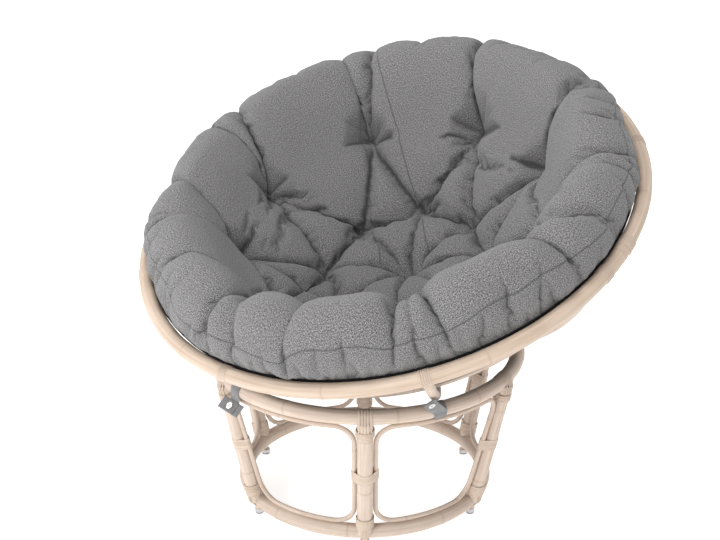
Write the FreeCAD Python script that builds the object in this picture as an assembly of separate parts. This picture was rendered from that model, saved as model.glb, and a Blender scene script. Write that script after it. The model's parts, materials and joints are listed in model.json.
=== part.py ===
"""Papasan chair: a round rattan bowl on a six-legged ring base, with a tufted cushion.

Frame: origin on the floor at the middle of the base, +Z up. The bowl opens towards -Y.
Lengths are in millimetres and angles in degrees.
"""
import FreeCAD, Part

import math
import os

from FreeCAD import Rotation, Vector

# Base: two bent poles, six posts and six bent-cane loops
TOP_RING_R = 325.0
TOP_RING_Z = 331.0
TOP_RING_POLE_D = 31.0
BOTTOM_RING_R = 260.0
BOTTOM_RING_Z = 33.3
BOTTOM_RING_POLE_D = 30.0
POST_D = 32.0
POST_COUNT = 6
POST_TURN = 10.5
POST_HEAD_OUT = 8.0
POST_FOOT_OUT = 6.0
POST_HEAD_DROP = 6.0
POST_HEAD_DOWEL_D = 12.0
POST_HEAD_DOWEL_LENGTH = 46.0
LOOP_D = 10.0
LOOP_CORNER = 42.0
LOOP_SIDE_GAP = 0.5
LOOP_LEAN_IN = 1.0
LOOP_JOINT_GAP = 0.4
STRAP_ROOM = 1.9

# Feet
FOOT_DOWEL_D = 15.0
FOOT_DOWEL_RISE = 50.0
FOOT_CUP_D = 19.0
FOOT_CUP_H = 9.0
FOOT_CUP_FLOOR = 1.2
FOOT_PAD_D = 17.0
FOOT_PAD_H = 2.5

# Cane lashings: flat strips over a joint, then a round cane wound over their ends
STRIP_T = 1.8
STRIP_W = 5.6
STRIP_GAP = 0.8
HEAD_STRIPS = 4
FOOT_STRIPS = 3
HEAD_STRIP_REACH = 36.0
FOOT_STRIP_REACH = 44.0
CANE_D = 3.0
CANE_PITCH = 3.6
CANE_CLEAR = 0.15
HEAD_TURNS = 4
HEAD_WINDING_DROP = 39.0
MIDDLE_TURNS = 7
MIDDLE_WINDING_RISE = 150.0
MIDDLE_CLEAR = 0.6
FOOT_TURNS = 4
FOOT_WINDING_RISE = 29.0

# Bowl: ribs on a sphere, a thick rim and three hoops inside the ribs
BOWL_TILT = 21.6
RIM_OUTER_D = 1100.0
RIM_POLE_D = 32.0
RIM_BELOW_CENTRE = 217.0
RIM_STAND_OUT = 17.4
RIM_RING_R = (RIM_OUTER_D - RIM_POLE_D) / 2
RIB_SPHERE_R = math.hypot(RIM_RING_R, RIM_BELOW_CENTRE) - RIM_STAND_OUT
RIB_D = 22.0
RIB_COUNT = 8
RIB_START = 6.5
RIB_SEAT_CLEAR = 0.3
HOOP_D = 12.0
HOOP_POLARS = {"bowl_hub_hoop": 9.0, "bowl_middle_hoop": 29.0, "bowl_upper_hoop": 49.0}
HOOP_CLEAR = 0.1
NAIL_D = 2.4
NAIL_LENGTH = 17.0
NAIL_SUNK = 0.8
RIM_NAIL_GRIP = 30.0
RIM_STRIPS = 3
RIM_STRIP_REACH = 42.0
RIM_TURNS = 5
RIM_WINDING_DROP = 40.0

# Butt joints of the bent poles, each with a dowel inside, and the fit of every dowel and nail
FIT = 0.05
SPLICE_GAP = 0.4
SPLICE_DOWEL_D = 9.0
SPLICE_DOWEL_LENGTH = 60.0
RIM_SPLICE_AT = 99.5
RIM_SPLICE_TURNS = 8
RING_SPLICE_AT = 100.5

# Cushion, measured in the bowl: heights are above the plane of the rim
CUSHION_CLEAR = 0.3
UNDERSIDE_T = 1.2
UNDERSIDE_TURN_IN = 60.5
SEAM_RIM_CLEAR = 18.0
SEAM_R = RIM_RING_R - RIM_POLE_D / 2 - SEAM_RIM_CLEAR
SEAM_HEIGHT = -4.0
CROWN_IN = 18.0
CROWN_R = SEAM_R - CROWN_IN
CROWN_HEIGHT = 33.0
CROWN_ROUND = 55.0
SIDE_BREAK = 8.0
DISH_DEPTH = 171.0
DISH_SLOPE = 45.3
TUFT_RINGS = (
    # polar angle, depth, radius of the hollow drawn in round the tuft, azimuths
    (0.0, 32.0, 92.0, (0.0,)),
    (26.3, 32.0, 90.0, (-61.0, -16.0, 29.0, 74.0, 119.0, 158.0, 204.0, 251.0)),
    (52.5, 36.0, 104.0, (-53.0, -17.0, 15.0, 47.0, 79.0, 111.0, 146.0, 184.0, 227.0, 272.0)),
)
CREASE_AZIMUTHS = (-70.0, -36.0, -3.4, 42.0, 79.0, 114.0, 154.0, 191.0, 217.6, 259.3)
TUFT_FLOOR_R = 4.0
TUFT_WAIST_OUT = 15.0
TUFT_WAIST_UP = 18.0
TUFT_LIP = 14.0
TIE_D = 3.0
TIE_KNOT_D = 6.0
TIE_KNOT_H = 2.0
COVER_GAP = 0.1
CREASE_TUBE_D = 44.0
CREASE_DEPTH = 9.0
CREASE_END = -14.0

# Leather straps on the top ring, closed with ring snaps
STRAP_W = 27.0
STRAP_T = 1.4
STRAP_CLEAR = 0.15
STRAPS = {
    # azimuth, start of the tongue along and above the ring, its turn and its lean in degrees (None where it
    # rises past the ribs), the share of its width below that start, its length, and where its tab and snap are
    "strap_left": (260.0, 27.0, -20.0, 90.0, -48.0, 1.0, 58.0, 10.0, 28.0),
    "strap_right": (336.5, 0.0, 0.0, 40.0, None, 0.5, 62.0, 18.0, 51.0),
}
STRAP_RIB_CLEAR = 4.6
TONGUE_ROOT = 6.0
TAB_CLEAR = 0.3
SNAP_CAP_D = 14.0
SNAP_CAP_H = 2.6
SNAP_SOCKET_D = 6.0
SNAP_STUD_D = 5.4
SNAP_STUD_H = 2.7

SEAM_LINE_AT = 25.0
Z = Vector(0, 0, 1)
ORIGIN = Vector(0, 0, 0)


# Small helpers

def polar_point(radius, azimuth, z=0.0):
    """Point at a radius and azimuth about the Z axis."""
    a = math.radians(azimuth)
    return Vector(radius * math.cos(a), radius * math.sin(a), z)


def turned(shape, angle, centre=ORIGIN, axis=Z):
    """Copy of a shape, turned about an axis."""
    copy = shape.copy()
    copy.rotate(centre, axis, angle)
    return copy


def moved(shape, offset):
    """Copy of a shape, moved by an offset."""
    copy = shape.copy()
    copy.translate(offset)
    return copy


def export(name, shape):
    """Write one node as a STEP file."""
    shape.exportStep("parts/" + name + ".step")
    print(name, len(shape.Solids), "solids,", round(shape.Volume / 1000.0, 2), "cm3, valid", shape.isValid())


def group(shapes):
    """One compound of separate solids."""
    solids = []
    for shape in shapes:
        solids += shape.Solids
    return Part.makeCompound(solids)


def cylinder_between(start, end, radius):
    """Cylinder from one point to another."""
    run = end.sub(start)
    return Part.makeCylinder(radius, run.Length, start, run)


def biarc_edges(start, start_dir, end, end_dir):
    """Two arcs that leave start along start_dir and meet end along end_dir, or one line."""
    chord = end.sub(start)
    along = Vector(chord).normalize()
    if along.dot(start_dir) > 1 - 1e-9 and along.dot(end_dir) > 1 - 1e-9:
        return [Part.LineSegment(start, end).toShape()]
    both = start_dir.add(end_dir)
    bend = 2 * (1 - start_dir.dot(end_dir))
    reach = chord.dot(both)
    if bend > 1e-9:
        handle = (math.sqrt(reach * reach + bend * chord.dot(chord)) - reach) / bend
    else:
        handle = chord.dot(chord) / (2 * reach)
    middle = (start + end + (start_dir - end_dir) * handle) * 0.5
    edges = []
    for point, direction, far in ((start, start_dir, middle), (end, end_dir * -1.0, middle)):
        span = far.sub(point)
        side = span - direction * span.dot(direction)
        if side.Length < 1e-7:
            edges.append(Part.LineSegment(point, far).toShape())
            continue
        side.normalize()
        radius = span.dot(span) / (2 * span.dot(side))
        centre = point + side * radius
        half = (point + far) * 0.5 - centre
        through = centre + half.normalize() * radius
        ends = (point, far) if point == start else (far, point)
        edges.append(Part.Arc(ends[0], through, ends[1]).toShape())
    return edges


def tube_along(stations, wire_d):
    """Round tube through (point, direction) stations, joined by biarcs."""
    edges = []
    for (p0, d0), (p1, d1) in zip(stations[:-1], stations[1:]):
        edges += biarc_edges(p0, d0, p1, d1)
    section = Part.Wire([Part.makeCircle(wire_d / 2, stations[0][0], stations[0][1])])
    path = Part.Wire(edges)
    tube = path.makePipeShell([section], True, False)
    print("tube volume over length times section", round(tube.Volume / (path.Length * section_area(wire_d)), 3))
    return tube, path


def section_area(wire_d):
    """Area of a round section."""
    return math.pi * wire_d ** 2 / 4


def least_gap(path, wire_d):
    """Least gap between the turns of a cane, measured on points all along its centre line."""
    points = path.discretize(Distance=wire_d / 2)
    skip = 4
    least = 1e9
    for i, point in enumerate(points):
        for other in points[i + skip:]:
            least = min(least, (point.x - other.x) ** 2 + (point.y - other.y) ** 2 + (point.z - other.z) ** 2)
    return math.sqrt(least) - wire_d


def hull_path(circles):
    """Tangent points round a convex set of circles, as (centre, radius, arrive, leave) in degrees.

    The circles are (x, y, radius), listed anticlockwise.
    """
    if len(circles) == 1:
        x, y, r = circles[0]
        return [((x, y), r, 0, 360)]
    leave = []
    for (x0, y0, r0), (x1, y1, r1) in zip(circles, circles[1:] + circles[:1]):
        heading = math.degrees(math.atan2(y1 - y0, x1 - x0))
        leave.append(heading - math.degrees(math.acos((r0 - r1) / math.hypot(x1 - x0, y1 - y0))))
    path = []
    for i, (x, y, r) in enumerate(circles):
        arrive = leave[i - 1]
        go = leave[i]
        while go < arrive:
            go += 360
        path.append(((x, y), r, arrive, go))
    return path


def winding(circles, turns, pitch, wire_d, place):
    """Cane wound round a bundle of circles, climbing evenly, with a straight tail at each end.

    The circles already stand for the line of the cane. place maps (x, y, z) into the model.
    """
    flat = []
    for (x, y), r, arrive, leave in hull_path(circles):
        for angle in (arrive, (arrive + leave) / 2, leave):
            a = math.radians(angle)
            flat.append((x + r * math.cos(a), y + r * math.sin(a), a))
    if len(circles) == 1:
        flat.pop()
    lengths = []
    for i, (x0, y0, a0) in enumerate(flat):
        x1, y1, a1 = flat[(i + 1) % len(flat)]
        sweep = (a1 - a0) % (2 * math.pi)
        chord = math.hypot(x1 - x0, y1 - y0)
        straight = sweep < 1e-9 or sweep > 2 * math.pi - 1e-9
        lengths.append(chord if straight else chord / (2 * math.sin(sweep / 2)) * sweep)
    around = sum(lengths)
    slope = math.atan2(pitch, around)
    stations = []
    travelled = 0.0
    for k in range(turns * len(flat) + 1):
        x, y, a = flat[k % len(flat)]
        z = pitch * travelled / around
        direction = Vector(-math.sin(a) * math.cos(slope), math.cos(a) * math.cos(slope), math.sin(slope))
        stations.append((place(Vector(x, y, z)), place(direction, True)))
        travelled += lengths[k % len(flat)]
    first, last = stations[0], stations[-1]
    stations.insert(0, (first[0] - first[1] * wire_d, first[1]))
    stations.append((last[0] + last[1] * wire_d, last[1]))
    tube, path = tube_along(stations, wire_d)
    print("least gap between its turns", round(least_gap(path, wire_d), 2), "mm")
    return tube


def placer(origin, x_dir, z_dir):
    """Function that maps local points, or directions, into the model."""
    z_axis = Vector(z_dir).normalize()
    x_axis = (x_dir - z_axis * x_dir.dot(z_axis)).normalize()
    y_axis = z_axis.cross(x_axis)

    def place(v, direction=False):
        out = x_axis * v.x + y_axis * v.y + z_axis * v.z
        return out if direction else origin + out
    return place


def spliced_ring(ring_r, pole_d, z, azimuth):
    """Bent pole closed with a butt joint, and the dowel inside the joint."""
    point = polar_point(ring_r, azimuth, z)
    along = polar_point(1, azimuth + 90)
    start = point - along * (SPLICE_DOWEL_LENGTH / 2)
    bore = Part.makeCylinder(SPLICE_DOWEL_D / 2 + FIT, SPLICE_DOWEL_LENGTH, start, along)
    dowel = Part.makeCylinder(SPLICE_DOWEL_D / 2, SPLICE_DOWEL_LENGTH, start, along)
    side = 2 * pole_d
    slot = Part.makeBox(side, SPLICE_GAP, side, Vector(-side / 2, -SPLICE_GAP / 2, -side / 2))
    slot = moved(turned(slot, azimuth), point)
    return torus(ring_r, z, pole_d).cut([slot, bore]), dowel


def torus(ring_r, z, pole_d):
    """Closed ring of round section about the Z axis, its seam line clear of every joint."""
    return turned(Part.makeTorus(ring_r, pole_d / 2, Vector(0, 0, z), Z), SEAM_LINE_AT)


def lashing_strips(count, thick, solid, place, size):
    """Strips that hug a joint: slices of the skin between thick and solid, side by side across Y.

    The slices come from a block with its middle at place and its X and Z sides in size.
    """
    step = STRIP_W + STRIP_GAP
    skin = thick.cut(solid)
    strips = []
    for i in range(count):
        across = step * (i - (count - 1) / 2) - STRIP_W / 2
        slab = Part.makeBox(size[0], STRIP_W, size[1], place + Vector(-size[0] / 2, across, -size[1] / 2))
        strips.append(max(skin.common(slab).Solids, key=lambda piece: piece.Volume))
    return strips


# Base, built at azimuth 0 and then turned to each post

def post_axis(z):
    """Point on a post's centre line at a height, for the post at azimuth 0."""
    head = TOP_RING_R + POST_HEAD_OUT
    foot = BOTTOM_RING_R + POST_FOOT_OUT
    share = (z - BOTTOM_RING_Z) / (TOP_RING_Z - BOTTOM_RING_Z)
    return Vector(foot + (head - foot) * share, 0, z)


def post_direction():
    """Unit vector up a post."""
    return (post_axis(TOP_RING_Z) - post_axis(BOTTOM_RING_Z)).normalize()


def at_posts(shape):
    """Copies of a shape at every post."""
    return [turned(shape, POST_TURN + 360.0 / POST_COUNT * i) for i in range(POST_COUNT)]


def cup_floor_z():
    """Height of the inside of a foot cup."""
    return FOOT_PAD_H + FOOT_CUP_FLOOR


def foot_dowel(grow=0.0):
    """Dowel from the foot cup through the bottom ring into the post, with a level lower end."""
    below = Part.makeBox(4 * POST_D, 4 * POST_D, POST_D, Vector(post_axis(0).x - 2 * POST_D, -2 * POST_D, 0))
    below.translate(Vector(0, 0, cup_floor_z() - POST_D))
    start = post_axis(cup_floor_z() - FOOT_DOWEL_D / 2)
    end = post_axis(BOTTOM_RING_Z + FOOT_DOWEL_RISE)
    return cylinder_between(start, end, FOOT_DOWEL_D / 2 + grow).cut(below)


def head_dowel(grow=0.0):
    """Hidden dowel from the top ring into the post head."""
    end = post_axis(TOP_RING_Z) - post_direction() * POST_HEAD_DOWEL_LENGTH
    return cylinder_between(end, Vector(TOP_RING_R, 0, TOP_RING_Z), POST_HEAD_DOWEL_D / 2 + grow)


def top_torus(grow=0.0):
    """Torus of the top ring, with its skin grown."""
    return torus(TOP_RING_R, TOP_RING_Z, TOP_RING_POLE_D + 2 * grow)


def bottom_torus(grow=0.0):
    """Torus of the bottom ring, with its skin grown."""
    return torus(BOTTOM_RING_R, BOTTOM_RING_Z, BOTTOM_RING_POLE_D + 2 * grow)


def post_bar(grow=0.0):
    """Round bar along a post, from the bottom ring's centre to a level cut at the top ring."""
    top = TOP_RING_Z - POST_HEAD_DROP + grow
    bar = cylinder_between(post_axis(BOTTOM_RING_Z), post_axis(top + POST_D), POST_D / 2 + grow)
    side = 4 * POST_D
    return bar.cut(Part.makeBox(side, side, side, Vector(post_axis(top).x - side / 2, -side / 2, top)))


def build_base_poles():
    """Rings, posts and their dowels."""
    top, top_dowel = spliced_ring(TOP_RING_R, TOP_RING_POLE_D, TOP_RING_Z, RING_SPLICE_AT)
    bottom, bottom_dowel = spliced_ring(BOTTOM_RING_R, BOTTOM_RING_POLE_D, BOTTOM_RING_Z, RING_SPLICE_AT)
    export("base_top_ring", top.cut(at_posts(head_dowel(FIT))))
    export("base_bottom_ring", bottom.cut(at_posts(foot_dowel(FIT))))
    export("ring_splice_dowels", group([top_dowel, bottom_dowel]))
    export("post_head_dowels", group(at_posts(head_dowel())))
    export("foot_dowels", group(at_posts(foot_dowel())))
    post = post_bar().cut([top_torus(), bottom_torus(), head_dowel(FIT), foot_dowel(FIT)])
    for i, shape in enumerate(at_posts(post)):
        export("base_post_%d" % (i + 1), shape)


def foot_cup(grow=0.0):
    """Metal cup under a dowel, still without its bore."""
    foot = post_axis(FOOT_PAD_H + FOOT_CUP_H / 2)
    return Part.makeCylinder(FOOT_CUP_D / 2 + grow, FOOT_CUP_H + grow, Vector(foot.x, 0, FOOT_PAD_H))


def build_feet():
    """Metal cup and pad under each dowel."""
    foot = post_axis(FOOT_PAD_H + FOOT_CUP_H / 2)
    pad = Part.makeCylinder(FOOT_PAD_D / 2, FOOT_PAD_H, Vector(foot.x, 0, 0))
    export("foot_cups", group(at_posts(foot_cup().cut(foot_dowel(FIT)))))
    export("foot_pads", group(at_posts(pad)))


def loop_heights():
    """Heights of the lower and upper run of a loop."""
    low = BOTTOM_RING_Z + BOTTOM_RING_POLE_D / 2 + LOOP_D / 2
    high = TOP_RING_Z - TOP_RING_POLE_D / 2 - LOOP_D / 2 - STRAP_ROOM
    return low, high


def loop_radius(z):
    """Distance of a loop from the Z axis at a height."""
    low, high = loop_heights()
    foot = BOTTOM_RING_R - LOOP_LEAN_IN
    return foot + (TOP_RING_R - foot) * (z - low) / (high - low)


def loop_side():
    """Distance of a loop's upright from its post's middle plane."""
    return (POST_D + LOOP_D) / 2 + LOOP_SIDE_GAP


def build_loops():
    """Bent cane loops, one in each bay."""
    low, high = loop_heights()
    bay = 360.0 / POST_COUNT

    def upright(side, z):
        """Point on an upright; side 0 is beside the first post, side 1 beside the next."""
        offset = loop_side() if side == 0 else -loop_side()
        return turned_vector(Vector(loop_radius(z), offset, z), bay * side)

    def run(side, z):
        """Point where a corner meets the lower or upper run, and the run's direction."""
        r = loop_radius(z)
        reach = math.degrees(math.asin((loop_side() + LOOP_CORNER) / r))
        azimuth = reach if side == 0 else bay - reach
        return polar_point(r, azimuth, z), polar_point(1, azimuth + 90)

    def rise(side):
        """Direction up an upright."""
        return (upright(side, high) - upright(side, low)).normalize()

    joint = math.degrees(LOOP_JOINT_GAP / 2 / loop_radius(low))
    stations = [(polar_point(loop_radius(low), bay / 2 + joint, low), polar_point(1, bay / 2 + joint + 90))]
    stations.append(run(1, low))
    stations += [(upright(1, low + LOOP_CORNER), rise(1)), (upright(1, high - LOOP_CORNER), rise(1))]
    stations += [(run(side, high)[0], run(side, high)[1] * -1.0) for side in (1, 0)]
    stations += [(upright(0, high - LOOP_CORNER), rise(0) * -1.0), (upright(0, low + LOOP_CORNER), rise(0) * -1.0)]
    stations.append(run(0, low))
    stations.append((polar_point(loop_radius(low), bay / 2 - joint, low), polar_point(1, bay / 2 - joint + 90)))
    loop = tube_along(stations, LOOP_D)[0]
    for i, shape in enumerate(at_posts(loop)):
        export("base_loop_%d" % (i + 1), shape)


def turned_vector(v, angle):
    """Vector turned about the Z axis."""
    return Rotation(Z, angle).multVec(v)


def build_base_strips():
    """Cane strips over the head and the foot of each post."""
    reach = 2 * HEAD_STRIP_REACH
    strips = lashing_strips(
        HEAD_STRIPS, top_torus(STRIP_T).fuse(post_bar(STRIP_T)), top_torus().fuse(post_bar()),
        Vector(TOP_RING_R, 0, TOP_RING_Z), (reach, reach),
    )
    export("head_strips", group(at_posts(group(strips))))
    solid = bottom_torus().fuse([post_bar(), foot_dowel(), foot_cup(CANE_CLEAR)])
    strips = lashing_strips(
        FOOT_STRIPS, bottom_torus(STRIP_T).fuse(post_bar(STRIP_T)), solid,
        Vector(BOTTOM_RING_R + BOTTOM_RING_POLE_D + STRIP_T, 0, BOTTOM_RING_Z),
        (2 * BOTTOM_RING_POLE_D, 2 * FOOT_STRIP_REACH),
    )
    export("foot_strips", group(at_posts(group(strips))))


def build_base_windings():
    """Cane wound round the head, middle and foot of each post."""
    wire = CANE_D / 2 + CANE_CLEAR
    over_strips = POST_D / 2 + STRIP_T + wire
    up = post_direction()
    outward = Vector(1, 0, 0)
    for name, z, turns in (
        ("head_windings", TOP_RING_Z - HEAD_WINDING_DROP, HEAD_TURNS),
        ("foot_windings", BOTTOM_RING_Z + FOOT_WINDING_RISE, FOOT_TURNS),
    ):
        place = placer(post_axis(z), outward, up)
        export(name, group(at_posts(winding([(0, 0, over_strips)], turns, CANE_PITCH, CANE_D, place))))
    middle = BOTTOM_RING_Z + MIDDLE_WINDING_RISE
    inward = loop_radius(middle) - post_axis(middle).x
    post = (0, 0, POST_D / 2 + wire)
    loop_r = LOOP_D / 2 + wire + MIDDLE_CLEAR
    bundle = [(inward, -loop_side(), loop_r), post, (inward, loop_side(), loop_r), post]
    start = post_axis(middle) - up * (MIDDLE_TURNS * CANE_PITCH / 2)
    tie = winding(bundle, MIDDLE_TURNS, CANE_PITCH, CANE_D, placer(start, outward, up))
    export("middle_windings", group(at_posts(tie)))


# Bowl, built about the sphere's centre with its axis upright, then tilted into place

def bowl_centre():
    """Centre of the rib sphere, so that the ribs rest on the lashed top ring."""
    reach = RIB_SPHERE_R + RIB_D / 2 + RIB_SEAT_CLEAR + STRIP_T + TOP_RING_POLE_D / 2
    return Vector(0, 0, TOP_RING_Z + math.sqrt(reach ** 2 - TOP_RING_R ** 2))


def into_place(shape):
    """Tilt a shape of the bowl or cushion and lift it to its place."""
    copy = turned(shape, BOWL_TILT, ORIGIN, Vector(1, 0, 0))
    copy.translate(bowl_centre())
    return copy


def bowl_azimuth(azimuth):
    """Turn about the bowl's axis that brings +X to an azimuth counted from the facing side."""
    return azimuth - 90.0


def sphere_point(radius, polar, azimuth=None):
    """Point at a polar angle from the bottom of the bowl; in the XZ plane without an azimuth."""
    p = math.radians(polar)
    point = Vector(radius * math.sin(p), 0, -radius * math.cos(p))
    return point if azimuth is None else turned_vector(point, bowl_azimuth(azimuth))


def rim_centre():
    """Centre of the rim's section in the XZ plane."""
    return Vector(RIM_RING_R, 0, -RIM_BELOW_CENTRE)


def rim_torus(grow=0.0):
    """Torus of the rim, with its skin grown."""
    return torus(RIM_RING_R, -RIM_BELOW_CENTRE, RIM_POLE_D + 2 * grow)


def rib_leaves():
    """Polar angle where a rib leaves the sphere and runs straight to the middle of the rim."""
    rim = rim_centre()
    return math.degrees(math.atan2(rim.x, -rim.z) - math.acos(RIB_SPHERE_R / rim.Length))


def rib_end_direction():
    """Direction of the straight end of a rib."""
    return (rim_centre() - sphere_point(RIB_SPHERE_R, rib_leaves())).normalize()


def rib_bar():
    """Whole rib, still without its seat under the rim."""
    leaves = rib_leaves()
    start = sphere_point(RIB_SPHERE_R, RIB_START)
    bend = arc(start, sphere_point(RIB_SPHERE_R, (RIB_START + leaves) / 2), sphere_point(RIB_SPHERE_R, leaves))
    tangent = Vector(math.cos(math.radians(RIB_START)), 0, math.sin(math.radians(RIB_START)))
    path = Part.Wire([bend, line(sphere_point(RIB_SPHERE_R, leaves), rim_centre())])
    return path.makePipeShell([Part.Wire([Part.makeCircle(RIB_D / 2, start, tangent)])], True, False)


def rib_end(reach, grow=0.0):
    """Straight end of a rib, from the middle of the rim down."""
    return cylinder_between(rim_centre() - rib_end_direction() * reach, rim_centre(), RIB_D / 2 + grow)


def at_ribs(shape):
    """Copies of a shape at every rib."""
    return [turned(shape, bowl_azimuth(360.0 / RIB_COUNT * i)) for i in range(RIB_COUNT)]


def hoop_nail(polar, grow=0.0):
    """Nail from just inside a hoop into a rib."""
    inner = RIB_SPHERE_R - RIB_D / 2 - HOOP_CLEAR - HOOP_D + NAIL_SUNK
    return cylinder_between(sphere_point(inner, polar), sphere_point(inner + NAIL_LENGTH, polar), NAIL_D / 2 + grow)


def rim_nail(grow=0.0):
    """Nail from just inside the rim's skin into the end of a rib."""
    head = rim_centre() + rib_end_direction() * (RIM_POLE_D / 2 - NAIL_SUNK)
    return cylinder_between(rim_centre() - rib_end_direction() * RIM_NAIL_GRIP, head, NAIL_D / 2 + grow)


def build_bowl():
    """Rim, ribs, hoops and nails."""
    rim, rim_dowel = spliced_ring(RIM_RING_R, RIM_POLE_D, -RIM_BELOW_CENTRE, bowl_azimuth(RIM_SPLICE_AT))
    export("bowl_rim", into_place(rim.cut(at_ribs(rim_nail(FIT)))))
    export("rim_splice_dowel", into_place(rim_dowel))
    polars = HOOP_POLARS.values()
    rib = rib_bar().cut(rim_torus()).cut([rim_nail(FIT)] + [hoop_nail(polar, FIT) for polar in polars])
    for i, shape in enumerate(at_ribs(rib)):
        export("bowl_rib_%d" % (i + 1), into_place(shape))
    for name, polar in HOOP_POLARS.items():
        middle = sphere_point(RIB_SPHERE_R - RIB_D / 2 - HOOP_CLEAR - HOOP_D / 2, polar)
        hoop = torus(middle.x, middle.z, HOOP_D).cut(at_ribs(hoop_nail(polar, FIT)))
        export(name, into_place(hoop))
    nails = [rim_nail()] + [hoop_nail(polar) for polar in polars]
    export("bowl_nails", into_place(group(at_ribs(group(nails)))))


def build_rim_lashings():
    """Cane strips and windings where the ribs meet the rim, and the winding over the rim's joint."""
    side = 2 * (RIM_STRIP_REACH + RIB_D)
    thick = rim_torus(STRIP_T).fuse(rib_end(RIM_STRIP_REACH, STRIP_T))
    solid = rim_torus().fuse(rib_end(RIM_STRIP_REACH + RIB_D))
    strips = lashing_strips(RIM_STRIPS, thick, solid, rim_centre(), (side, side))
    export("rim_strips", into_place(group(at_ribs(group(strips)))))

    wire = CANE_D / 2 + CANE_CLEAR
    along = rib_end_direction()
    place = placer(rim_centre() - along * RIM_WINDING_DROP, Vector(0, 1, 0), along)
    lashing = winding([(0, 0, RIB_D / 2 + STRIP_T + wire)], RIM_TURNS, CANE_PITCH, CANE_D, place)
    export("rim_windings", into_place(group(at_ribs(lashing))))

    azimuth = bowl_azimuth(RIM_SPLICE_AT)
    along = polar_point(1, azimuth + 90)
    middle = polar_point(RIM_RING_R, azimuth, -RIM_BELOW_CENTRE)
    half = RIM_SPLICE_TURNS * CANE_PITCH / 2
    bulge = half ** 2 / (2 * RIM_RING_R)
    circle = (0, 0, RIM_POLE_D / 2 + wire + bulge)
    splice = winding([circle], RIM_SPLICE_TURNS, CANE_PITCH, CANE_D, placer(middle - along * half, Z, along))
    export("rim_splice_winding", into_place(splice))


# Cushion

def cushion_point(radius, height):
    """Point of the cushion's profile, from its radius and its height above the rim's plane."""
    return Vector(radius, 0, height - RIM_BELOW_CENTRE)


def line(start, end):
    """Straight edge."""
    return Part.LineSegment(start, end).toShape()


def arc(start, through, end):
    """Arc edge through three points."""
    return Part.Arc(start, through, end).toShape()


def underside_r():
    """Radius of the outer face of the cushion's underside, which rests on the hoops."""
    return RIB_SPHERE_R - RIB_D / 2 - HOOP_CLEAR - HOOP_D - CUSHION_CLEAR


def underside_edges(inset):
    """Edges of the underside from the axis out to the seam, set in by a thickness."""
    radius = underside_r() - inset
    turn_in = sphere_point(radius, UNDERSIDE_TURN_IN)
    seam = cushion_point(SEAM_R - inset, SEAM_HEIGHT)
    bottom = sphere_point(radius, 0)
    return [arc(bottom, sphere_point(radius, UNDERSIDE_TURN_IN / 2), turn_in), line(turn_in, seam)], bottom, seam


def crown_point(angle):
    """Point on the cushion's crown, at an angle from outward."""
    a = math.radians(angle)
    return cushion_point(CROWN_R + CROWN_ROUND * math.cos(a), CROWN_HEIGHT + CROWN_ROUND * math.sin(a))


def revolve_edges(edges):
    """Solid of revolution of a closed profile about the Z axis."""
    return Part.Face(Part.Wire(Part.sortEdges(edges)[0])).revolve(ORIGIN, Z, 360)


def dish_round():
    """Radius of the arc that hollows the seat and runs smoothly into the straight slope to the crown."""
    a = math.radians(DISH_SLOPE)
    rise = (CROWN_HEIGHT + DISH_DEPTH) * math.cos(a)
    return (CROWN_R * math.sin(a) - rise - CROWN_ROUND) / (1 - math.cos(a))


def dish_top():
    """Height, in the bowl, of the centre of the arc that hollows the seat."""
    return dish_round() - RIM_BELOW_CENTRE - DISH_DEPTH


def dish_point(slope):
    """Point on the hollow of the seat where it rises at a slope."""
    a = math.radians(slope)
    return Vector(dish_round() * math.sin(a), 0, dish_top() - dish_round() * math.cos(a))


def seat_distance(polar):
    """Distance of the seat's face from the sphere's centre at a polar angle."""
    p = math.radians(polar)
    reach = dish_top() * math.cos(p)
    on_arc = math.sqrt(reach ** 2 + dish_round() ** 2 - dish_top() ** 2) - reach
    edge = dish_point(DISH_SLOPE)
    if on_arc * math.sin(p) <= edge.x:
        return on_arc
    s = math.radians(DISH_SLOPE)
    return (edge.x * math.sin(s) - edge.z * math.cos(s)) / (math.sin(p) * math.sin(s) + math.cos(p) * math.cos(s))


def cushion_body():
    """Crowned dish of the cushion, before its tufts are drawn in."""
    edges, bottom, seam = underside_edges(UNDERSIDE_T + COVER_GAP)
    shoulder = crown_point(SIDE_BREAK)
    inner = crown_point(90 + DISH_SLOPE)
    edges.append(line(seam, shoulder))
    edges.append(arc(shoulder, crown_point((SIDE_BREAK + 90 + DISH_SLOPE) / 2), inner))
    edges.append(line(inner, dish_point(DISH_SLOPE)))
    edges.append(arc(dish_point(DISH_SLOPE), dish_point(DISH_SLOPE / 2), dish_point(0)))
    edges.append(line(dish_point(0), bottom))
    return revolve_edges(edges)


def tuft_pit(seat_r, depth, hollow_r):
    """Flared cutter of one tuft, along -Z from the sphere's centre."""
    bottom = Vector(0, 0, -seat_r - depth)
    floor = bottom + Vector(TUFT_FLOOR_R, 0, 0)
    mouth = Vector(hollow_r, 0, -seat_r + TUFT_LIP)
    waist = floor + Vector(TUFT_WAIST_OUT, 0, TUFT_WAIST_UP)
    top = mouth + Vector(0, 0, hollow_r)
    edges = [line(bottom, floor), arc(floor, waist, mouth), line(mouth, top)]
    edges += [line(top, Vector(0, 0, top.z)), line(Vector(0, 0, top.z), bottom)]
    return revolve_edges(edges)


def tuft_tie(seat_r, depth, grow=0.0):
    """Tufting cord through the cushion, with its knot in the pit."""
    top = Vector(0, 0, -seat_r - depth)
    cord = cylinder_between(Vector(0, 0, -underside_r() + UNDERSIDE_T + COVER_GAP), top, TIE_D / 2 + grow)
    return cord.fuse(Part.makeCylinder(TIE_KNOT_D / 2 + grow, TIE_KNOT_H, top))


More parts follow.
